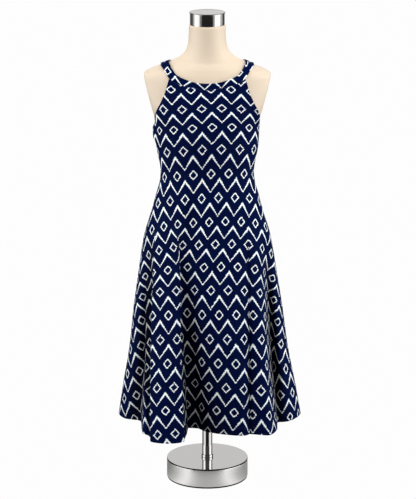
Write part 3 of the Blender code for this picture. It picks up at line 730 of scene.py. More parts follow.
class Shader:
    """A node material under construction."""

    def __init__(self, name):
        self.material = bpy.data.materials.new(name)
        self.material.use_nodes = True
        self.tree = self.material.node_tree
        self.surface = self.tree.nodes["Principled BSDF"]

    def connect(self, socket, value):
        """Links a value or a socket to a socket, or sets a plain number or colour on it."""
        if isinstance(value, Value):
            value = value.socket
        if isinstance(value, bpy.types.NodeSocket):
            self.tree.links.new(value, socket)
        else:
            socket.default_value = value

    def node(self, kind, settings, inputs):
        """Any node: settings first, then the values or links of its sockets."""
        made = self.tree.nodes.new(kind)
        for key, value in settings.items():
            setattr(made, key, value)
        for key, value in inputs.items():
            self.connect(made.inputs[key], value)
        return made

    def parts(self, vector):
        """The three values of a vector."""
        made = self.node("ShaderNodeSeparateXYZ", {}, {0: vector})
        return [Value(self, output) for output in made.outputs]

    def uv(self, map_name):
        """The two coordinates of a UV map."""
        return self.parts(self.node("ShaderNodeUVMap", {"uv_map": map_name}, {}).outputs[0])[:2]

    def place(self):
        """Object coordinates, as one socket."""
        return self.node("ShaderNodeTexCoord", {}, {}).outputs["Object"]

    def point(self, x, y, z=0.0):
        """Vector from three values."""
        return self.node("ShaderNodeCombineXYZ", {}, {0: x, 1: y, 2: z}).outputs[0]

    def noise(self, vector, scale, detail=2.0, roughness=0.5):
        """Noise from 0 to 1."""
        made = self.node("ShaderNodeTexNoise", {}, {
            "Vector": vector, "Scale": scale, "Detail": detail, "Roughness": roughness})
        return Value(self, made.outputs[0])

    def rise(self, value, low, high, start=0.0, end=1.0):
        """Soft step from start to end while value goes from low to high."""
        made = self.node("ShaderNodeMapRange", {"interpolation_type": "SMOOTHSTEP"}, {
            0: value, 1: low, 2: high, 3: start, 4: end})
        return Value(self, made.outputs[0])

    def blend(self, share, first, second):
        """Colour between first and second."""
        made = self.node("ShaderNodeMix", {"data_type": "RGBA"}, {0: share, 6: first, 7: second})
        return made.outputs[2]

    def bump(self, height, strength, distance):
        """Normal from a height."""
        made = self.node("ShaderNodeBump", {}, {
            "Strength": strength, "Distance": distance, "Height": height})
        return made.outputs[0]

    def feed(self, **sockets):
        """Values or links for the surface's own sockets, named with _ for a space."""
        for key, value in sockets.items():
            self.connect(self.surface.inputs[key.replace("_", " ")], value)
        return self.material


def opaque(colour):
    """A colour setting as a shader's colour."""
    return colour[:] + (1.0,)


BLACK = (0.0, 0.0, 0.0, 1.0)
WHITE = (1.0, 1.0, 1.0, 1.0)

# The print within one repeat, in columns across and rows down.
DIAMOND_HALF_WIDTH = 0.218
DIAMOND_HALF_HEIGHT = 0.188
DIAMOND_LINE = 0.151
DIAMOND_POWER = 1.06
ZIGZAG_SWING = 0.265
ZIGZAG_THIN = 0.029
ZIGZAG_THICK = 0.065
# Feathered edges: steps in a column, how far they show, and how far each of them moves.
FEATHER_STEPS = 13.0
FEATHER_SHARE = 0.5
FEATHER_DOWN = 0.055
FEATHER_LINE = 0.026
# Small unevenness of the dye: sideways, downwards and in the width of the diamonds' lines.
WOBBLE_ACROSS = 0.035
WOBBLE_DOWN = 0.02
WOBBLE_LINE = 0.12
# Distance from a line, in half line widths, over which the cream and the blue fringe fade out.
CREAM_EDGE = (1.12, 0.86)
FRINGE_EDGE = (1.95, 1.0)
FRINGE_SHARE = 0.75
# How much the painted fold shade takes away of the blue fringe, and how much of it darkens the
# cream.
FRINGE_FOLD_SHADE_LOSS = 0.6
CREAM_FOLD_SHADE_SHARE = 0.60


def printed_cloth(settings):
    """Navy crepe with a cream print of open diamonds between feathered zigzags, and painted shade
    deep in its folds.
    """
    shader = Shader("printed navy crepe")
    p, q = shader.uv("print")
    across, up = shader.uv("cloth")
    hollow, _ = shader.uv("hollow")
    fine = shader.point(across, up)

    stepped = (p * FEATHER_STEPS).floor() / FEATHER_STEPS
    feather = shader.noise(shader.point(stepped * 9.0, (q * 2.0).floor() * 3.1), 3.0, 0.0) - 0.5
    wobble = shader.noise(fine, 160.0) - 0.5
    p_drawn = (p * (1.0 - FEATHER_SHARE) + (stepped + 0.5 / FEATHER_STEPS) * FEATHER_SHARE
               + wobble * WOBBLE_ACROSS)
    q_drawn = q + feather * FEATHER_DOWN + wobble * WOBBLE_DOWN

    # Open diamonds: whole columns on even rows, half columns on odd rows.
    rounds = []
    for shift in (0.5, 0.0):
        x = abs((p_drawn + shift).fraction() - 0.5) / DIAMOND_HALF_WIDTH
        y = abs((q_drawn * 0.5 + shift).fraction() - 0.5) * (2.0 / DIAMOND_HALF_HEIGHT)
        rounds.append((x ** DIAMOND_POWER + y ** DIAMOND_POWER) ** (1.0 / DIAMOND_POWER))
    ring_gap = abs(rounds[0].least(rounds[1]) - 1.0) / (DIAMOND_LINE + wobble * WOBBLE_LINE)

    # Zigzags half-way between the rows, thick at their peaks and thin in their valleys.
    row = q.floor()
    side = 1.0 - (row * 0.5).fraction() * 4.0
    swing = (abs(p_drawn.fraction() - 0.5) * 4.0 - 1.0) * side
    from_line = abs(q_drawn - row - 0.5 - swing * ZIGZAG_SWING)
    thickness = shader.rise(swing, 0.7, -0.75, ZIGZAG_THIN, ZIGZAG_THICK)
    gap = ring_gap.least(from_line / (thickness + feather * FEATHER_LINE))

    tone = shader.noise(fine, 22.0, 3.0)
    navy = shader.blend(tone, opaque(settings.navy_dark), opaque(settings.navy))
    # Painted shade: the ground darkens towards black deep in the folds.
    ground = shader.blend(hollow * settings.fold_shade, navy, BLACK)
    fringe = shader.rise(gap, *FRINGE_EDGE) * (FRINGE_SHARE - hollow * FRINGE_FOLD_SHADE_LOSS)
    edged = shader.blend(fringe, ground, opaque(settings.fringe))
    cream_tone = shader.noise(fine, 260.0, 1.0)
    cream = shader.blend(cream_tone, opaque(settings.cream_dark), opaque(settings.cream))
    # Painted shade on the cream deep in the folds.
    cream = shader.blend(hollow * (settings.fold_shade * CREAM_FOLD_SHADE_SHARE), cream, BLACK)

    knit = shader.noise(shader.point(across, up * 0.45), 2600.0, 2.0, 0.6)
    crepe = shader.noise(fine, 900.0, 3.0, 0.6)
    return shader.feed(
        Base_Color=shader.blend(shader.rise(gap, *CREAM_EDGE), edged, cream),
        Roughness=0.78 + (tone - 0.5) * 0.08,
        Normal=shader.bump(knit * 0.5 + crepe * 0.5, 0.25, 0.3 * MM),
        Specular_IOR_Level=0.02,
    )


def thread_material(settings):
    """Navy sewing thread."""
    shader = Shader("navy thread")
    twist = shader.noise(shader.place(), 1800.0, 1.0)
    colour = shader.blend(twist, opaque(settings.navy_dark), opaque(settings.thread))
    return shader.feed(Base_Color=colour, Roughness=0.6, Specular_IOR_Level=0.35)


def form_skin(settings):
    """Cream satin plastic, very slightly uneven."""
    shader = Shader("cream satin form")
    broad = shader.noise(shader.place(), 9.0)
    fine = shader.noise(shader.place(), 380.0)
    return shader.feed(
        Base_Color=shader.blend(broad, opaque(settings.skin), opaque(settings.skin_warm)),
        Roughness=0.40 + (fine - 0.5) * 0.06,
        Normal=shader.bump(fine, 0.05, 0.2 * MM),
        Specular_IOR_Level=0.35,
    )


def chrome(name, colour, roughness):
    """Polished plate with faint wipe marks."""
    shader = Shader(name)
    x, y, z = shader.parts(shader.place())
    wipe = shader.noise(shader.point(x, y, z * 6.0), 24.0, 3.0)
    return shader.feed(
        Base_Color=opaque(colour),
        Metallic=1.0,
        Roughness=roughness + (wipe - 0.5) * 0.03,
    )


# The base: its top, how far below it the groove ends, and the height of its set-back foot, which
# is painted near-black as contact shadow.
BASE_TOP = BASE_BOX[1][2]
BASE_GROOVE = 2.6 * MM
BASE_FOOT = 3.6 * MM
PAINTED_SHADOW_COLOUR = (0.012, 0.012, 0.013, 1.0)


def base_metal(colour, side_colour):
    """Base plate: polished top, satin turned side with fine rings round it, painted shadow on the
    foot and painted shade over the groove and rim.
    """
    shader = Shader("satin base metal")
    z = shader.parts(shader.place())[2]
    top = shader.rise(z, BASE_TOP - 0.30 * MM, BASE_TOP - 0.05 * MM)
    rings = shader.noise(shader.point(0.0, 0.0, z), 3500.0)
    # Painted contact shadow: the set-back foot and the rounding above it are near-black. Painted
    # shade: so are the groove and the rounded rim above it, up to the polished top.
    foot = shader.rise(z, BASE_FOOT + 0.6 * MM, BASE_FOOT)
    groove = shader.rise(z, BASE_TOP - BASE_GROOVE - 0.4 * MM, BASE_TOP - BASE_GROOVE)
    side = shader.blend(foot.most(groove), opaque(side_colour), PAINTED_SHADOW_COLOUR)
    return shader.feed(
        Base_Color=shader.blend(top, side, opaque(colour)),
        Metallic=1.0,
        Roughness=shader.rise(top, 0.0, 1.0, 0.24, 0.07) + (rings - 0.5) * 0.04,
        Normal=shader.bump(rings, 0.03, 0.1 * MM),
    )


# ------------------------------------------------------------------ settings a user would change
class HalterDressSettings(bpy.types.PropertyGroup):
    """Sizes and colours of the dress, the form and the stage."""

    cloth_thickness: bpy.props.FloatProperty(
        name="Cloth thickness", description="Thickness of the crepe", default=1.1 * MM,
        subtype="DISTANCE", unit="LENGTH")
    navy: bpy.props.FloatVectorProperty(
        name="Navy", description="Ground colour where it is lightest", subtype="COLOR",
        default=(0.0012, 0.0049, 0.0400))
    navy_dark: bpy.props.FloatVectorProperty(
        name="Dark navy", description="Ground colour where it is darkest", subtype="COLOR",
        default=(0.0005, 0.0025, 0.0255))
    cream: bpy.props.FloatVectorProperty(
        name="Cream", description="Lightest colour of the print", subtype="COLOR",
        default=(0.935, 0.960, 0.935))
    cream_dark: bpy.props.FloatVectorProperty(
        name="Dark cream", description="Darkest colour of the print", subtype="COLOR",
        default=(0.80, 0.835, 0.82))
    fringe: bpy.props.FloatVectorProperty(
        name="Fringe", description="Blue that bleeds round the print", subtype="COLOR",
        default=(0.020, 0.110, 0.280))
    thread: bpy.props.FloatVectorProperty(
        name="Thread", description="Sewing thread", subtype="COLOR",
        default=(0.005, 0.011, 0.058))
    skin: bpy.props.FloatVectorProperty(
        name="Form", description="The form's cream finish", subtype="COLOR",
        default=(0.665, 0.555, 0.432))
    skin_warm: bpy.props.FloatVectorProperty(
        name="Form, warm", description="The form's cream finish where it is warmer",
        subtype="COLOR", default=(0.650, 0.540, 0.418))
    chrome: bpy.props.FloatVectorProperty(
        name="Chrome", description="Reflection colour of the polished metal", subtype="COLOR",
        default=(0.62, 0.61, 0.60))
    base_side: bpy.props.FloatVectorProperty(
        name="Base side", description="Reflection colour of the base's turned side",
        subtype="COLOR", default=(0.78, 0.77, 0.76))
    base_top: bpy.props.FloatVectorProperty(
        name="Base top", description="Reflection colour of the base's polished top",
        subtype="COLOR", default=(0.62, 0.61, 0.60))
    # How dark the painted shade is deep in the folds.
    fold_shade: bpy.props.FloatProperty(
        name="Fold shade", description="How dim the cloth is deep in a fold", default=0.80,
        min=0.0, max=1.0, subtype="FACTOR")
    stitch_length: bpy.props.FloatProperty(
        name="Stitch length", description="Length of one stitch with its gap", default=3.2 * MM,
        subtype="DISTANCE", unit="LENGTH")
    side_power: bpy.props.FloatProperty(
        name="Side lamps", default=78.0, unit="POWER",
        description="Power of the left softbox in watts, which the right and rear ones follow")
    top_power: bpy.props.FloatProperty(
        name="Overhead lamp", description="Power of the overhead lamp in watts", default=76.0,
        unit="POWER")
    room_light: bpy.props.FloatProperty(
        name="Room light", description="Strength of the even light of the room", default=0.10,
        min=0.0, max=1.0, subtype="FACTOR")


def settings_of(context):
    """The scene's own settings."""
    return context.scene.halter_dress


# ------------------------------------------------------------------ the form and its stand
ARM_PLATE_FOOT_HEIGHT = 0.905
ARM_PLATE_FOOT = 0.1242
ARM_PLATE_LEAN = 0.242
ARM_PLATE_ROUNDING = 1.6 * MM
# The soft crease at the foot of the neck, which rises towards the sides, and its dimple in front.
NECK_CREASE_HEIGHT = 1.0605
NECK_CREASE_DEPTH = 0.5 * MM
NECK_CREASE_WIDTH = 4.5 * MM
NECK_CREASE_RISE = 6 * MM
NECK_CREASE_RISE_TURN = 60.0
NECK_CREASE_TURN = 42.0
DIMPLE_BELOW = 3.5 * MM
DIMPLE_HEIGHT = 2.2 * MM
DIMPLE_TURN = 2.2
DIMPLE_SHARE = 0.6
TORSO_RING = 0.0035
TORSO_COLUMNS = 240


def form_points(turns, heights):
    """The form's skin with flat arm plates and the soft crease at the foot of the neck."""
    points = section_points(FORM_CURVES, turns, heights)
    plate = ARM_PLATE_FOOT + ARM_PLATE_LEAN * (heights - ARM_PLATE_FOOT_HEIGHT)
    plate = np.where(heights < ARM_PLATE_FOOT_HEIGHT, 1.0, plate)
    size = np.abs(points[..., 0])
    inside = (plate - size) / ARM_PLATE_ROUNDING
    eased = plate - ARM_PLATE_ROUNDING * np.logaddexp(0.0, inside)
    points[..., 0] = np.sign(points[..., 0]) * np.where(inside > 12.0, size, eased)
    away = np.abs(signed_turn(turns))
    above = heights - NECK_CREASE_HEIGHT - NECK_CREASE_RISE * (away / NECK_CREASE_RISE_TURN) ** 2
    crease = np.exp(-((above / NECK_CREASE_WIDTH) ** 2) - (away / NECK_CREASE_TURN) ** 4)
    dimple = np.exp(-(((above + DIMPLE_BELOW) / DIMPLE_HEIGHT) ** 2) - (away / DIMPLE_TURN) ** 2)
    points[..., 1] += NECK_CREASE_DEPTH * (crease + DIMPLE_SHARE * dimple)
    return points


def ring_heights():
    """Ring heights of the fine torso, closer together where the sections change fast."""
    heights = []
    for low, high in zip(FORM_SECTIONS, FORM_SECTIONS[1:]):
        reach = math.hypot(high[0] - low[0], high[1] - low[1])
        count = max(2, math.ceil(reach / TORSO_RING))
        heights += [low[0] + (high[0] - low[0]) * k / count for k in range(count)]
    return np.array(heights + [FORM_SECTIONS[-1][0]])


def build_torso(settings):
    """Fine torso in place of the coarse one, closed at the neck and underneath."""
    turns = np.linspace(0.0, 360.0, TORSO_COLUMNS, endpoint=False)
    points = form_points(*np.meshgrid(turns, ring_heights()))
    rows, columns = points.shape[:2]
    index = np.arange(rows * columns).reshape(rows, columns)
    after = np.roll(index, -1, axis=1)
    quads = np.stack((index[:-1], after[:-1], after[1:], index[1:]), axis=-1).reshape(-1, 4)
    faces = quads.tolist() + [index[0][::-1].tolist(), index[-1].tolist()]
    obj = mesh_object("torso_skin", points.reshape(-1, 3).tolist(), [], faces)
    make_active(obj)
    bpy.ops.object.shade_smooth_by_angle(angle=math.radians(42))
    obj.data.materials.append(form_skin(settings))
    stand_for(obj, "form_torso")


# Long stretches of a profile get a ring this near to both ends, which keeps them evenly shaded.
LONG_STRETCH = 3 * MM
SUPPORT_RING = 0.5 * MM


def turned_piece(name, profile, steps):
    """Piece spun about Z from a profile of (radius, height), top to bottom."""
    held = [profile[0]]
    for start, end in zip(profile[:-1], profile[1:]):
        length = math.dist(start, end)
        if length > LONG_STRETCH:
            for share in (SUPPORT_RING / length, 1.0 - SUPPORT_RING / length):
                held.append(tuple(a + (b - a) * share for a, b in zip(start, end)))
        held.append(end)
    corners = [(radius, 0.0, height) for radius, height in held]
    obj = mesh_object(name, corners, [(k, k + 1) for k in range(len(corners) - 1)], [])
    make_active(obj)
    bpy.ops.object.mode_set(mode="EDIT")
    bpy.ops.mesh.select_all(action="SELECT")
    bpy.ops.mesh.spin(steps=steps, angle=math.tau, center=(0, 0, 0), axis=(0, 0, 1))
    bpy.ops.mesh.select_all(action="SELECT")
    bpy.ops.mesh.remove_doubles(threshold=0.02 * MM)
    bpy.ops.mesh.normals_make_consistent(inside=False)
    bpy.ops.object.mode_set(mode="OBJECT")
    bpy.ops.object.shade_smooth_by_angle(angle=math.radians(32))
    return obj


def rounded(radius, height, soft, lower=False):
    """Quarter round of a profile's outer corner, from its upper end to its lower one."""
    parts = 4
    points = []
    for k in range(parts + 1):
        angle = math.pi / 2 * k / parts
        if lower:
            out, up = math.cos(angle), 1.0 - math.sin(angle)
        else:
            out, up = math.sin(angle), math.cos(angle) - 1.0
        points.append((radius - soft + soft * out, height + soft * up))
    return points


POLE_RADIUS = POLE_BOX[1][0]
SOCKET_RADIUS = POLE_RADIUS + 0.3 * MM
SOCKET_DEPTH = 22 * MM
CAP_DISH = 0.9 * MM
CAP_LIP = 2.4 * MM
CAP_LIP_REACH = 1.1 * MM


def cap_profile():
    """Neck cap: a shallow dished disc whose thin lip stands out over its wall."""
    low, high = NECK_BOX[0][2], NECK_BOX[1][2]
    lip = NECK_BOX[1][0]
    wall = lip - CAP_LIP_REACH
    return ([(0.0, high - CAP_DISH), (lip - 5 * MM, high - CAP_DISH + 0.1 * MM),
             (lip - 2.6 * MM, high - 0.1 * MM)]
            + rounded(lip, high, 0.7 * MM)
            + rounded(lip, high - CAP_LIP, 0.5 * MM, lower=True)
            + [(wall, high - CAP_LIP - 0.3 * MM)]
            + rounded(wall, low, 0.6 * MM, lower=True)
            + [(0.0, low)])


def pole_profile():
    """Plain round pole with eased ends."""
    low, high = POLE_BOX[0][2], POLE_BOX[1][2]
    return ([(0.0, high)] + rounded(POLE_RADIUS, high, 0.8 * MM)
            + rounded(POLE_RADIUS, low, 0.8 * MM, lower=True) + [(0.0, low)])


def collar_profile():
    """Ring that holds the pole where it meets the base."""
    low, high = COLLAR_BOX[0][2], COLLAR_BOX[1][2]
    outer = COLLAR_BOX[1][0]
    return ([(SOCKET_RADIUS, high)] + rounded(outer, high, 1.2 * MM)
            + rounded(outer, low, 0.3 * MM, lower=True)
            + [(SOCKET_RADIUS, low), (SOCKET_RADIUS, high)])


def base_profile():
    """Round base: socket, rim, fine groove under the rim, side and set-back foot."""
    rim = BASE_BOX[1][0]
    socket_floor = BASE_TOP - SOCKET_DEPTH
    groove = BASE_TOP - BASE_GROOVE
    return ([(0.0, socket_floor), (SOCKET_RADIUS, socket_floor), (SOCKET_RADIUS, BASE_TOP)]
            + rounded(rim - 0.4 * MM, BASE_TOP, 0.9 * MM)
            + [(rim - 0.4 * MM, groove + 0.5 * MM), (rim - 1.0 * MM, groove + 0.35 * MM),
               (rim - 1.0 * MM, groove), (rim - 0.3 * MM, groove - 0.2 * MM),
               (rim, groove - 0.7 * MM)]
            + rounded(rim, BASE_FOOT, 0.7 * MM, lower=True)
            + [(rim - 1.0 * MM, BASE_FOOT), (rim - 1.0 * MM, 0.0), (0.0, 0.0)])


def build_metal(settings):
    """Neck cap, pole, collar and base, turned finely in place of the plain ones."""
    soft = chrome("soft chrome", settings.chrome, 0.12)
    bright = chrome("bright chrome", settings.chrome, 0.06)
    satin = base_metal(settings.base_top, settings.base_side)
    for name, node, profile, steps, metal, slot in (
            ("neck_cap", "form_neck_cap", cap_profile(), 160, soft, "bright_chrome"),
            ("pole", "form_pole", pole_profile(), 96, bright, "bright_chrome"),
            ("pole_collar", "form_pole_collar", collar_profile(), 96, bright, "bright_chrome"),
            ("round_base", "form_base", base_profile(), 200, satin, "satin_metal")):
        obj = turned_piece(name, profile, steps)
        obj.data.materials.append(metal)
        stand_for(obj, node)


# ------------------------------------------------------------------ the cloth
def step_back(edge, beside):
    """Edge of a sheet, half a seam's gap nearer to the line beside it."""
    towards = beside - edge
    return edge + towards / np.linalg.norm(towards, axis=-1, keepdims=True) * SEAM_GAP


def clear_of_seams(points, top=False, foot=False):
    """Grid whose sides, and top or foot row where asked, step back from their seams."""
    points = points.copy()
    for end, beside in ((0, 1), (-1, -2)):
        points[:, end] = step_back(points[:, end], points[:, beside])
    if top:
        points[-1] = step_back(points[-1], points[-2])
    if foot:
        points[0] = step_back(points[0], points[1])
    return points


def finish_cloth(obj, node, cloth, thickness):
    """Print, wall, and place in the frame of a cloth piece."""
    obj.data.materials.append(cloth)
    thicken(obj, thickness)
    stand_for(obj, node)


def build_panel(name, node, centre, band_lower, cloth, settings):
    """Front or back panel, with its print laid on the flat cut."""
    turns, heights = panel_grid(centre, band_lower)
    points = clear_of_seams(middle_points(turns, heights), top=True)
    flat = flat_cut(points)
    obj = sheet_object(name, points, {
        "print": print_places(flat, turns, heights, centre != 0.0),
        "cloth": flat,
        "hollow": hollow_places(points)})
    finish_cloth(obj, node, cloth, settings.cloth_thickness)


BAND_LIFT = 0.15 * MM
BAND_EXTRA_THICKNESS = 0.3 * MM


def build_band(name, node, centre, band_lower, band_upper, cloth, settings):
    """Neckband with its straps, printed along its length."""
    turns, heights = band_grid(centre, band_lower, band_upper)
    points = clear_of_seams(middle_points(turns, heights, BAND_LIFT), foot=True)
    lengths = run_lengths(points[BAND_ROWS // 2])
    middle = len(lengths) // 2
    width = float(np.linalg.norm(np.diff(points, axis=0), axis=-1).sum(axis=0).mean())
    up = np.linspace(0.0, width, BAND_ROWS + 1)
    flat = np.stack(np.meshgrid(lengths - lengths[middle], up), axis=-1)
    out = np.clip(np.abs(points[..., 0]) / BAND_STRAP_REACH, 0.0, 1.0)
    zigzag = BAND_PRINT_HEIGHT + BAND_PRINT_RISE * out
    if centre != 0.0:
        zigzag = zigzag + np.mean(points[:, middle, 2]) - FRONT_BAND_HEIGHT
    rows = -0.5 - (points[..., 2] - zigzag) / BAND_PRINT_PITCH
    obj = sheet_object(name, points, {
        "print": np.stack((smooth(BAND_COLUMNS, points[..., 0]), rows), axis=-1),
        "cloth": flat,
        "hollow": np.zeros_like(flat)})
    finish_cloth(obj, node, cloth, settings.cloth_thickness + BAND_EXTRA_THICKNESS)


# ------------------------------------------------------------------ the stitching
SEAM_THREAD = 0.34 * MM
SEAM_STITCH = 1.6 * MM
STITCH_THREAD = 0.22 * MM
STITCH_COVER = 0.7
STITCH_LIFT = 0.05 * MM
STITCH_SIDES = 5
# Along a stitch: share of its length, and how thick and how high it is there.
STITCH_RINGS = ((0.0, 0.1), (0.25, 1.0), (0.75, 1.0), (1.0, 0.1))

HEM_STITCH_RISES = (17 * MM, 20 * MM)
BAND_STITCH_DROP = 2.2 * MM
# Degrees that the armhole's stitches lie in from its edge, from the underarm to the strap.
ARMHOLE_STITCH_INSET = [(0.0, 1.5), (0.4, 4.5), (1.0, 2.75)]
SIDE_CLEARANCE = 0.4
STRAP_CLEARANCE = 1.5


def stitch_line(points, outward, stitch_length, radius, cover):
    """Corners and faces of a row of short thread stitches that cover a share of a line."""
    lengths = run_lengths(points)
    count = max(1, int(lengths[-1] / stitch_length))

    def at(values, place):
        where = place * lengths[-1] / count
        return np.array([np.interp(where, lengths, values[:, k]) for k in range(3)])

    corners, faces = [], []
    for middle in np.arange(count) + 0.5:
        start, end = at(points, middle - cover / 2), at(points, middle + cover / 2)
        normal = at(outward, middle)
        normal /= np.linalg.norm(normal)
        side = np.cross(end - start, normal)
        side /= np.linalg.norm(side)
        rings = []
        for share, fat in STITCH_RINGS:
            centre = start + (end - start) * share + normal * radius * (0.9 * fat - 0.3)
            rings.append(range(len(corners), len(corners) + STITCH_SIDES))
            for k in range(STITCH_SIDES):
                angle = math.tau * k / STITCH_SIDES
                around = side * math.cos(angle) + normal * math.sin(angle)
                corners.append(tuple(centre + radius * fat * around))
        for low, high in zip(rings[:-1], rings[1:]):
            for k in range(STITCH_SIDES):
                after = (k + 1) % STITCH_SIDES
                faces.append((low[k], low[after], high[after], high[k]))
        faces += [tuple(reversed(rings[0])), tuple(rings[-1])]
    return corners, faces


def stitch_object(name, lines, stitch_length, thread, radius=STITCH_THREAD, cover=STITCH_COVER):
    """One object of several stitch lines, given as (points, outward)."""
    corners, faces = [], []
    for points, outward in lines:
        more_corners, more_faces = stitch_line(points, outward, stitch_length, radius, cover)
        faces += [tuple(len(corners) + k for k in face) for face in more_faces]
        corners += more_corners
    obj = mesh_object(name, corners, [], faces)
    make_active(obj)
    bpy.ops.object.mode_set(mode="EDIT")
    bpy.ops.mesh.select_all(action="SELECT")
    bpy.ops.mesh.normals_make_consistent(inside=False)
    bpy.ops.object.mode_set(mode="OBJECT")
    bpy.ops.object.shade_smooth_by_angle(angle=math.radians(50))
    obj.data.materials.append(thread)
    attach(obj, BODY)


def line_on_cloth(turns, heights, lift):
    """Line at a height over the middle of the cloth, with its outward directions."""
    points, outward = cloth_points(turns, heights)
    return points + outward * lift, outward


def build_stitching(settings):
    """Hem, armhole and neckband stitches on both halves of the dress."""
    thread = thread_material(settings)
    on_face = settings.cloth_thickness / 2 + STITCH_LIFT
    hem_lines, armhole_lines, band_lines, seam_lines = [], [], [], []
    edge_heights = np.linspace(UNDERARM_HEIGHT + 1 * MM, ARMHOLE_TOP - 1 * MM, 120)
    up_armhole = (edge_heights - UNDERARM_HEIGHT) / (ARMHOLE_TOP - UNDERARM_HEIGHT)
    edge = smooth(ARMHOLE, edge_heights) - smooth(ARMHOLE_STITCH_INSET, up_armhole)
    seam_end = ARMHOLE_CORNER - STRAP_CLEARANCE
    seam = np.linspace(-seam_end, seam_end, 200)
    hem = np.linspace(SIDE_CLEARANCE - 90.0, 90.0 - SIDE_CLEARANCE, 1200)
    for centre, lower in ((0.0, FRONT_BAND_LOWER), (180.0, BACK_BAND_LOWER)):
        for rise in HEM_STITCH_RISES:
            level = np.full_like(hem, HEM_HEIGHT + rise)
            hem_lines.append(line_on_cloth(centre + hem, level, on_face))
        for side in (-1, 1):
            armhole_lines.append(line_on_cloth(centre + side * edge, edge_heights, on_face))
        seam_heights = smooth(lower, np.abs(seam))
        band_lines.append(line_on_cloth(centre + seam, seam_heights - BAND_STITCH_DROP, on_face))
        seam_lines.append(line_on_cloth(centre + seam, seam_heights, -0.2 * SEAM_THREAD))
    stitch_object("seam_thread", seam_lines, SEAM_STITCH, thread, SEAM_THREAD, cover=0.98)
    stitch_object("hem_stitches", hem_lines, settings.stitch_length, thread)
    stitch_object("armhole_stitches", armhole_lines, settings.stitch_length, thread)
    stitch_object("neckband_stitches", band_lines, settings.stitch_length, thread)


# ------------------------------------------------------------------ the stage
PHOTO_WIDTH, PHOTO_HEIGHT = 416, 499
FOCAL_PIXELS = 2541.0
CAMERA_PLACE = (0.0017, -6.05, 2.1805)
CAMERA_TILT = 14.75
FLOOR_GLOW = 0.985

# Cards on the floor that only the metal shows: turns from the front, radii, glow.
FLOOR_WEDGES = [
    ("front floor", (-38.0, 38.0), (0.23, 9.0), 0.015),
    ("left floor", (-92.0, -38.0), (0.23, 2.0), 1.15),
    ("right floor", (38.0, 100.0), (0.23, 2.0), 1.25),
    ("left rear floor", (-150.0, -92.0), (0.23, 2.0), 0.05),
    ("right rear floor", (100.0, 150.0), (0.23, 2.0), 0.05),
    ("far left floor", (-52.0, -38.0), (2.0, 9.0), 0.35),
    ("far left floor", (-68.0, -52.0), (2.0, 9.0), 1.60),
    ("far left floor", (-86.0, -68.0), (2.0, 9.0), 2.40),
    ("far left floor", (-102.0, -86.0), (2.0, 9.0), 1.10),
    ("far left floor", (-122.0, -102.0), (2.0, 9.0), 0.18),
    ("far left floor", (-150.0, -122.0), (2.0, 9.0), 0.08),
    ("far right floor", (38.0, 50.0), (2.0, 9.0), 0.45),
    ("far right floor", (50.0, 72.0), (2.0, 9.0), 1.80),
    ("far right floor", (72.0, 94.0), (2.0, 9.0), 1.90),
    ("far right floor", (94.0, 118.0), (2.0, 9.0), 0.70),
    ("far right floor", (118.0, 150.0), (2.0, 9.0), 0.08),
    ("back floor", (150.0, 210.0), (0.23, 9.0), 0.50),
]
# Low cards that stand this far away: turns of their edges, heights of foot and top, glow.
STANDING_CARD_DISTANCE = 1.2
STANDING_CARDS = [
    ("left card", (-98.0, -46.0), (0.15, 0.75), 2.2),
    ("right card", (48.0, 102.0), (0.15, 0.75), 2.4),
]
# Tall sheet behind the form: half width, distance, heights of foot and top, glow.
REAR_SHEET = (1.3, 3.2, (0.3, 3.0), 0.8)
# Glow of the cards that only the metal shows on the floor next to the base, turn by turn from the
# front, blended in a few steps: painted reflections in the base's side.
NEAR_FLOOR = [
    (-180.0, 0.60), (-150.0, 0.45), (-110.0, 0.22), (-85.0, 0.40), (-66.0, 0.62), (-52.0, 0.95),
    (-40.0, 1.05), (-28.0, 0.74), (-16.0, 0.56), (-5.0, 0.52), (8.0, 0.54), (20.0, 0.60),
    (30.0, 0.82), (40.0, 1.02), (52.0, 0.84), (64.0, 0.58), (80.0, 0.42), (100.0, 0.34),
    (130.0, 0.40), (180.0, 0.60),
]
NEAR_FLOOR_RADII = (0.095, 0.23)
NEAR_FLOOR_STEPS = 3
FLOOR_CARD_HEIGHT = 2 * MM

# Lamps: the setting of their power and their share of it, turn from the front, distance, width
# and height, height of the middle, height aimed at.
LAMPS = [
    ("left softbox", "side_power", 1.0, -70.0, 2.5, (2.3, 2.4), 1.55, 1.55),
    ("right softbox", "side_power", 1.15, 74.0, 2.5, (2.5, 2.4), 1.55, 1.55),
    ("overhead", "top_power", 1.0, 0.0, 1.2, (1.6, 1.6), 3.8, 0.9),
    ("rear fill", "side_power", 0.55, 180.0, 2.8, (2.0, 2.0), 2.0, 0.8),
]


def spot(turn, distance, height):
    """Point round the form at a turn from the front."""
    angle = math.radians(turn)
    return distance * math.sin(angle), -distance * math.cos(angle), height


def glowing(name, glow):
    """Even glow that takes no light."""
    return Shader(name).feed(Base_Color=BLACK, Roughness=1.0, Specular_IOR_Level=0.0,
                             Emission_Color=WHITE, Emission_Strength=glow)


def hide_from(obj, *rays):
    """Keeps an object out of the named kinds of rays."""
    for ray in rays:
        setattr(obj, "visible_" + ray, False)


def reflected_card(name, corners, glow):
    """Even card that only shows in reflections."""
    obj = mesh_object(name, corners, [], [tuple(range(len(corners)))])
    obj.data.materials.append(glowing(name, glow))
    hide_from(obj, "camera", "diffuse", "shadow", "transmission", "volume_scatter")


def floor_wedge(name, turns, radii, glow):
    """Reflected card on the floor between two turns from the front and two radii."""
    fine = np.linspace(turns[0], turns[1], 13)
    inner = [spot(turn, radii[0], FLOOR_CARD_HEIGHT) for turn in fine]
    outer = [spot(turn, radii[1], FLOOR_CARD_HEIGHT) for turn in fine[::-1]]
    reflected_card(name, inner + outer, glow)


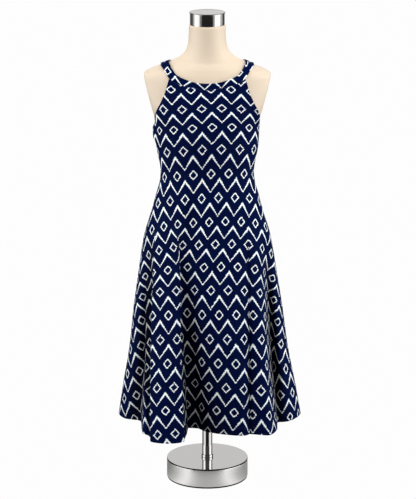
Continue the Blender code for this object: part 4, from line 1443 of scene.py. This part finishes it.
def build_cards():
    """Cards on the floor and round it that shape what the metal reflects."""
    for name, turns, radii, glow in FLOOR_WEDGES:
        floor_wedge(name, turns, radii, glow)
    for (turn_a, glow_a), (turn_b, glow_b) in zip(NEAR_FLOOR[:-1], NEAR_FLOOR[1:]):
        turns = np.linspace(turn_a, turn_b, NEAR_FLOOR_STEPS + 1)
        for step, pair in enumerate(zip(turns[:-1], turns[1:])):
            glow = glow_a + (glow_b - glow_a) * (step + 0.5) / NEAR_FLOOR_STEPS
            floor_wedge("near floor", pair, NEAR_FLOOR_RADII, glow)
    half, back, (foot, top), glow = REAR_SHEET
    reflected_card("rear sheet", [(-half, back, foot), (half, back, foot), (half, back, top),
                                  (-half, back, top)], glow)
    for name, (turn_a, turn_b), (foot, top), glow in STANDING_CARDS:
        reflected_card(name, [spot(turn, STANDING_CARD_DISTANCE, height) for turn, height in (
            (turn_a, foot), (turn_b, foot), (turn_b, top), (turn_a, top))], glow)


def softbox(name, power, turn, distance, size, height, aim_height):
    """Rectangular lamp standing round the form at a turn from the front."""
    lamp = bpy.data.lights.new(name, "AREA")
    lamp.shape = "RECTANGLE"
    lamp.size, lamp.size_y = size
    lamp.energy = power
    obj = bpy.data.objects.new(name, lamp)
    place = Vector(spot(turn, distance, height))
    obj.location = place
    aim = Vector((0.0, 0.0, aim_height)) - place
    obj.rotation_euler = aim.to_track_quat("-Z", "Y").to_euler()
    hide_from(obj, "camera", "glossy")
    bpy.context.scene.collection.objects.link(obj)


def build_stage(settings):
    """Plain pale floor, soft side lamps and the camera at the photograph's angle."""
    scene = bpy.context.scene
    scene.view_settings.view_transform = "Standard"

    bpy.ops.mesh.primitive_plane_add(size=80.0, location=(0.0, 0.0, -0.4 * MM))
    floor = bpy.context.object
    floor.name = "pale_floor"
    floor.data.materials.append(glowing("pale floor", FLOOR_GLOW))
    hide_from(floor, "diffuse", "glossy", "shadow")

    world = bpy.data.worlds.new("soft white room")
    scene.world = world
    world.use_nodes = True
    sky = world.node_tree.nodes["Background"]
    sky.inputs["Color"].default_value = WHITE
    sky.inputs["Strength"].default_value = settings.room_light
    for name, setting, share, *where in LAMPS:
        softbox(name, getattr(settings, setting) * share, *where)
    build_cards()

    camera = bpy.data.cameras.new("camera")
    camera.sensor_width = 36.0
    camera.lens = FOCAL_PIXELS / max(PHOTO_WIDTH, PHOTO_HEIGHT) * camera.sensor_width
    camera.clip_start = 0.1
    camera.clip_end = 200.0
    obj = bpy.data.objects.new("camera", camera)
    obj.location = CAMERA_PLACE
    obj.rotation_euler = (math.radians(90.0 - CAMERA_TILT), 0.0, 0.0)
    scene.collection.objects.link(obj)
    scene.camera = obj


# ------------------------------------------------------------------ operators
class HALTER_OT_torso(bpy.types.Operator):
    """Build the form's fine torso"""
    bl_idname = "halter.torso"
    bl_label = "Form torso"

    def execute(self, context):
        build_torso(settings_of(context))
        return {"FINISHED"}


class HALTER_OT_metal(bpy.types.Operator):
    """Build the neck cap, pole, collar and base"""
    bl_idname = "halter.metal"
    bl_label = "Metal stand"

    def execute(self, context):
        build_metal(settings_of(context))
        return {"FINISHED"}


class HALTER_OT_dress(bpy.types.Operator):
    """Build the front and back panels and both neckbands"""
    bl_idname = "halter.dress"
    bl_label = "Dress"

    def execute(self, context):
        settings = settings_of(context)
        cloth = printed_cloth(settings)
        build_panel("front_cloth", "front_panel", 0.0, FRONT_BAND_LOWER, cloth, settings)
        build_panel("back_cloth", "back_panel", 180.0, BACK_BAND_LOWER, cloth, settings)
        build_band("front_band_cloth", "front_neckband", 0.0, FRONT_BAND_LOWER,
                   FRONT_BAND_UPPER, cloth, settings)
        build_band("back_band_cloth", "back_neckband", 180.0, BACK_BAND_LOWER,
                   BACK_BAND_UPPER, cloth, settings)
        return {"FINISHED"}


class HALTER_OT_stitching(bpy.types.Operator):
    """Sew the hem, armhole and neckband stitches"""
    bl_idname = "halter.stitching"
    bl_label = "Stitching"

    def execute(self, context):
        build_stitching(settings_of(context))
        return {"FINISHED"}


class HALTER_OT_stage(bpy.types.Operator):
    """Set the floor, the lamps and the camera"""
    bl_idname = "halter.stage"
    bl_label = "Stage"

    def execute(self, context):
        build_stage(settings_of(context))
        return {"FINISHED"}


class HALTER_PT_panel(bpy.types.Panel):
    """Sizes, colours and build steps of the halter dress"""
    bl_label = "Halter Dress"
    bl_idname = "HALTER_PT_panel"
    bl_space_type = "VIEW_3D"
    bl_region_type = "UI"
    bl_category = "Halter Dress"

    def draw(self, context):
        settings = settings_of(context)
        for name in HalterDressSettings.__annotations__:
            self.layout.prop(settings, name)
        for step in STEPS:
            self.layout.operator(step.bl_idname)


STEPS = (HALTER_OT_torso, HALTER_OT_metal, HALTER_OT_dress, HALTER_OT_stitching, HALTER_OT_stage)
CLASSES = (HalterDressSettings,) + STEPS + (HALTER_PT_panel,)


def register():
    """Makes the settings, the operators and the panel known."""
    for cls in CLASSES:
        bpy.utils.register_class(cls)
    bpy.types.Scene.halter_dress = bpy.props.PointerProperty(type=HalterDressSettings)


def unregister():
    """Takes them away again."""
    del bpy.types.Scene.halter_dress
    for cls in reversed(CLASSES):
        bpy.utils.unregister_class(cls)


def main():
    """Builds every piece round the loaded frame."""
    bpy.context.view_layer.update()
    register()
    bpy.ops.halter.torso()
    bpy.ops.halter.metal()
    bpy.ops.halter.dress()
    bpy.ops.halter.stitching()
    bpy.ops.halter.stage()


if __name__ == "__main__":
    main()
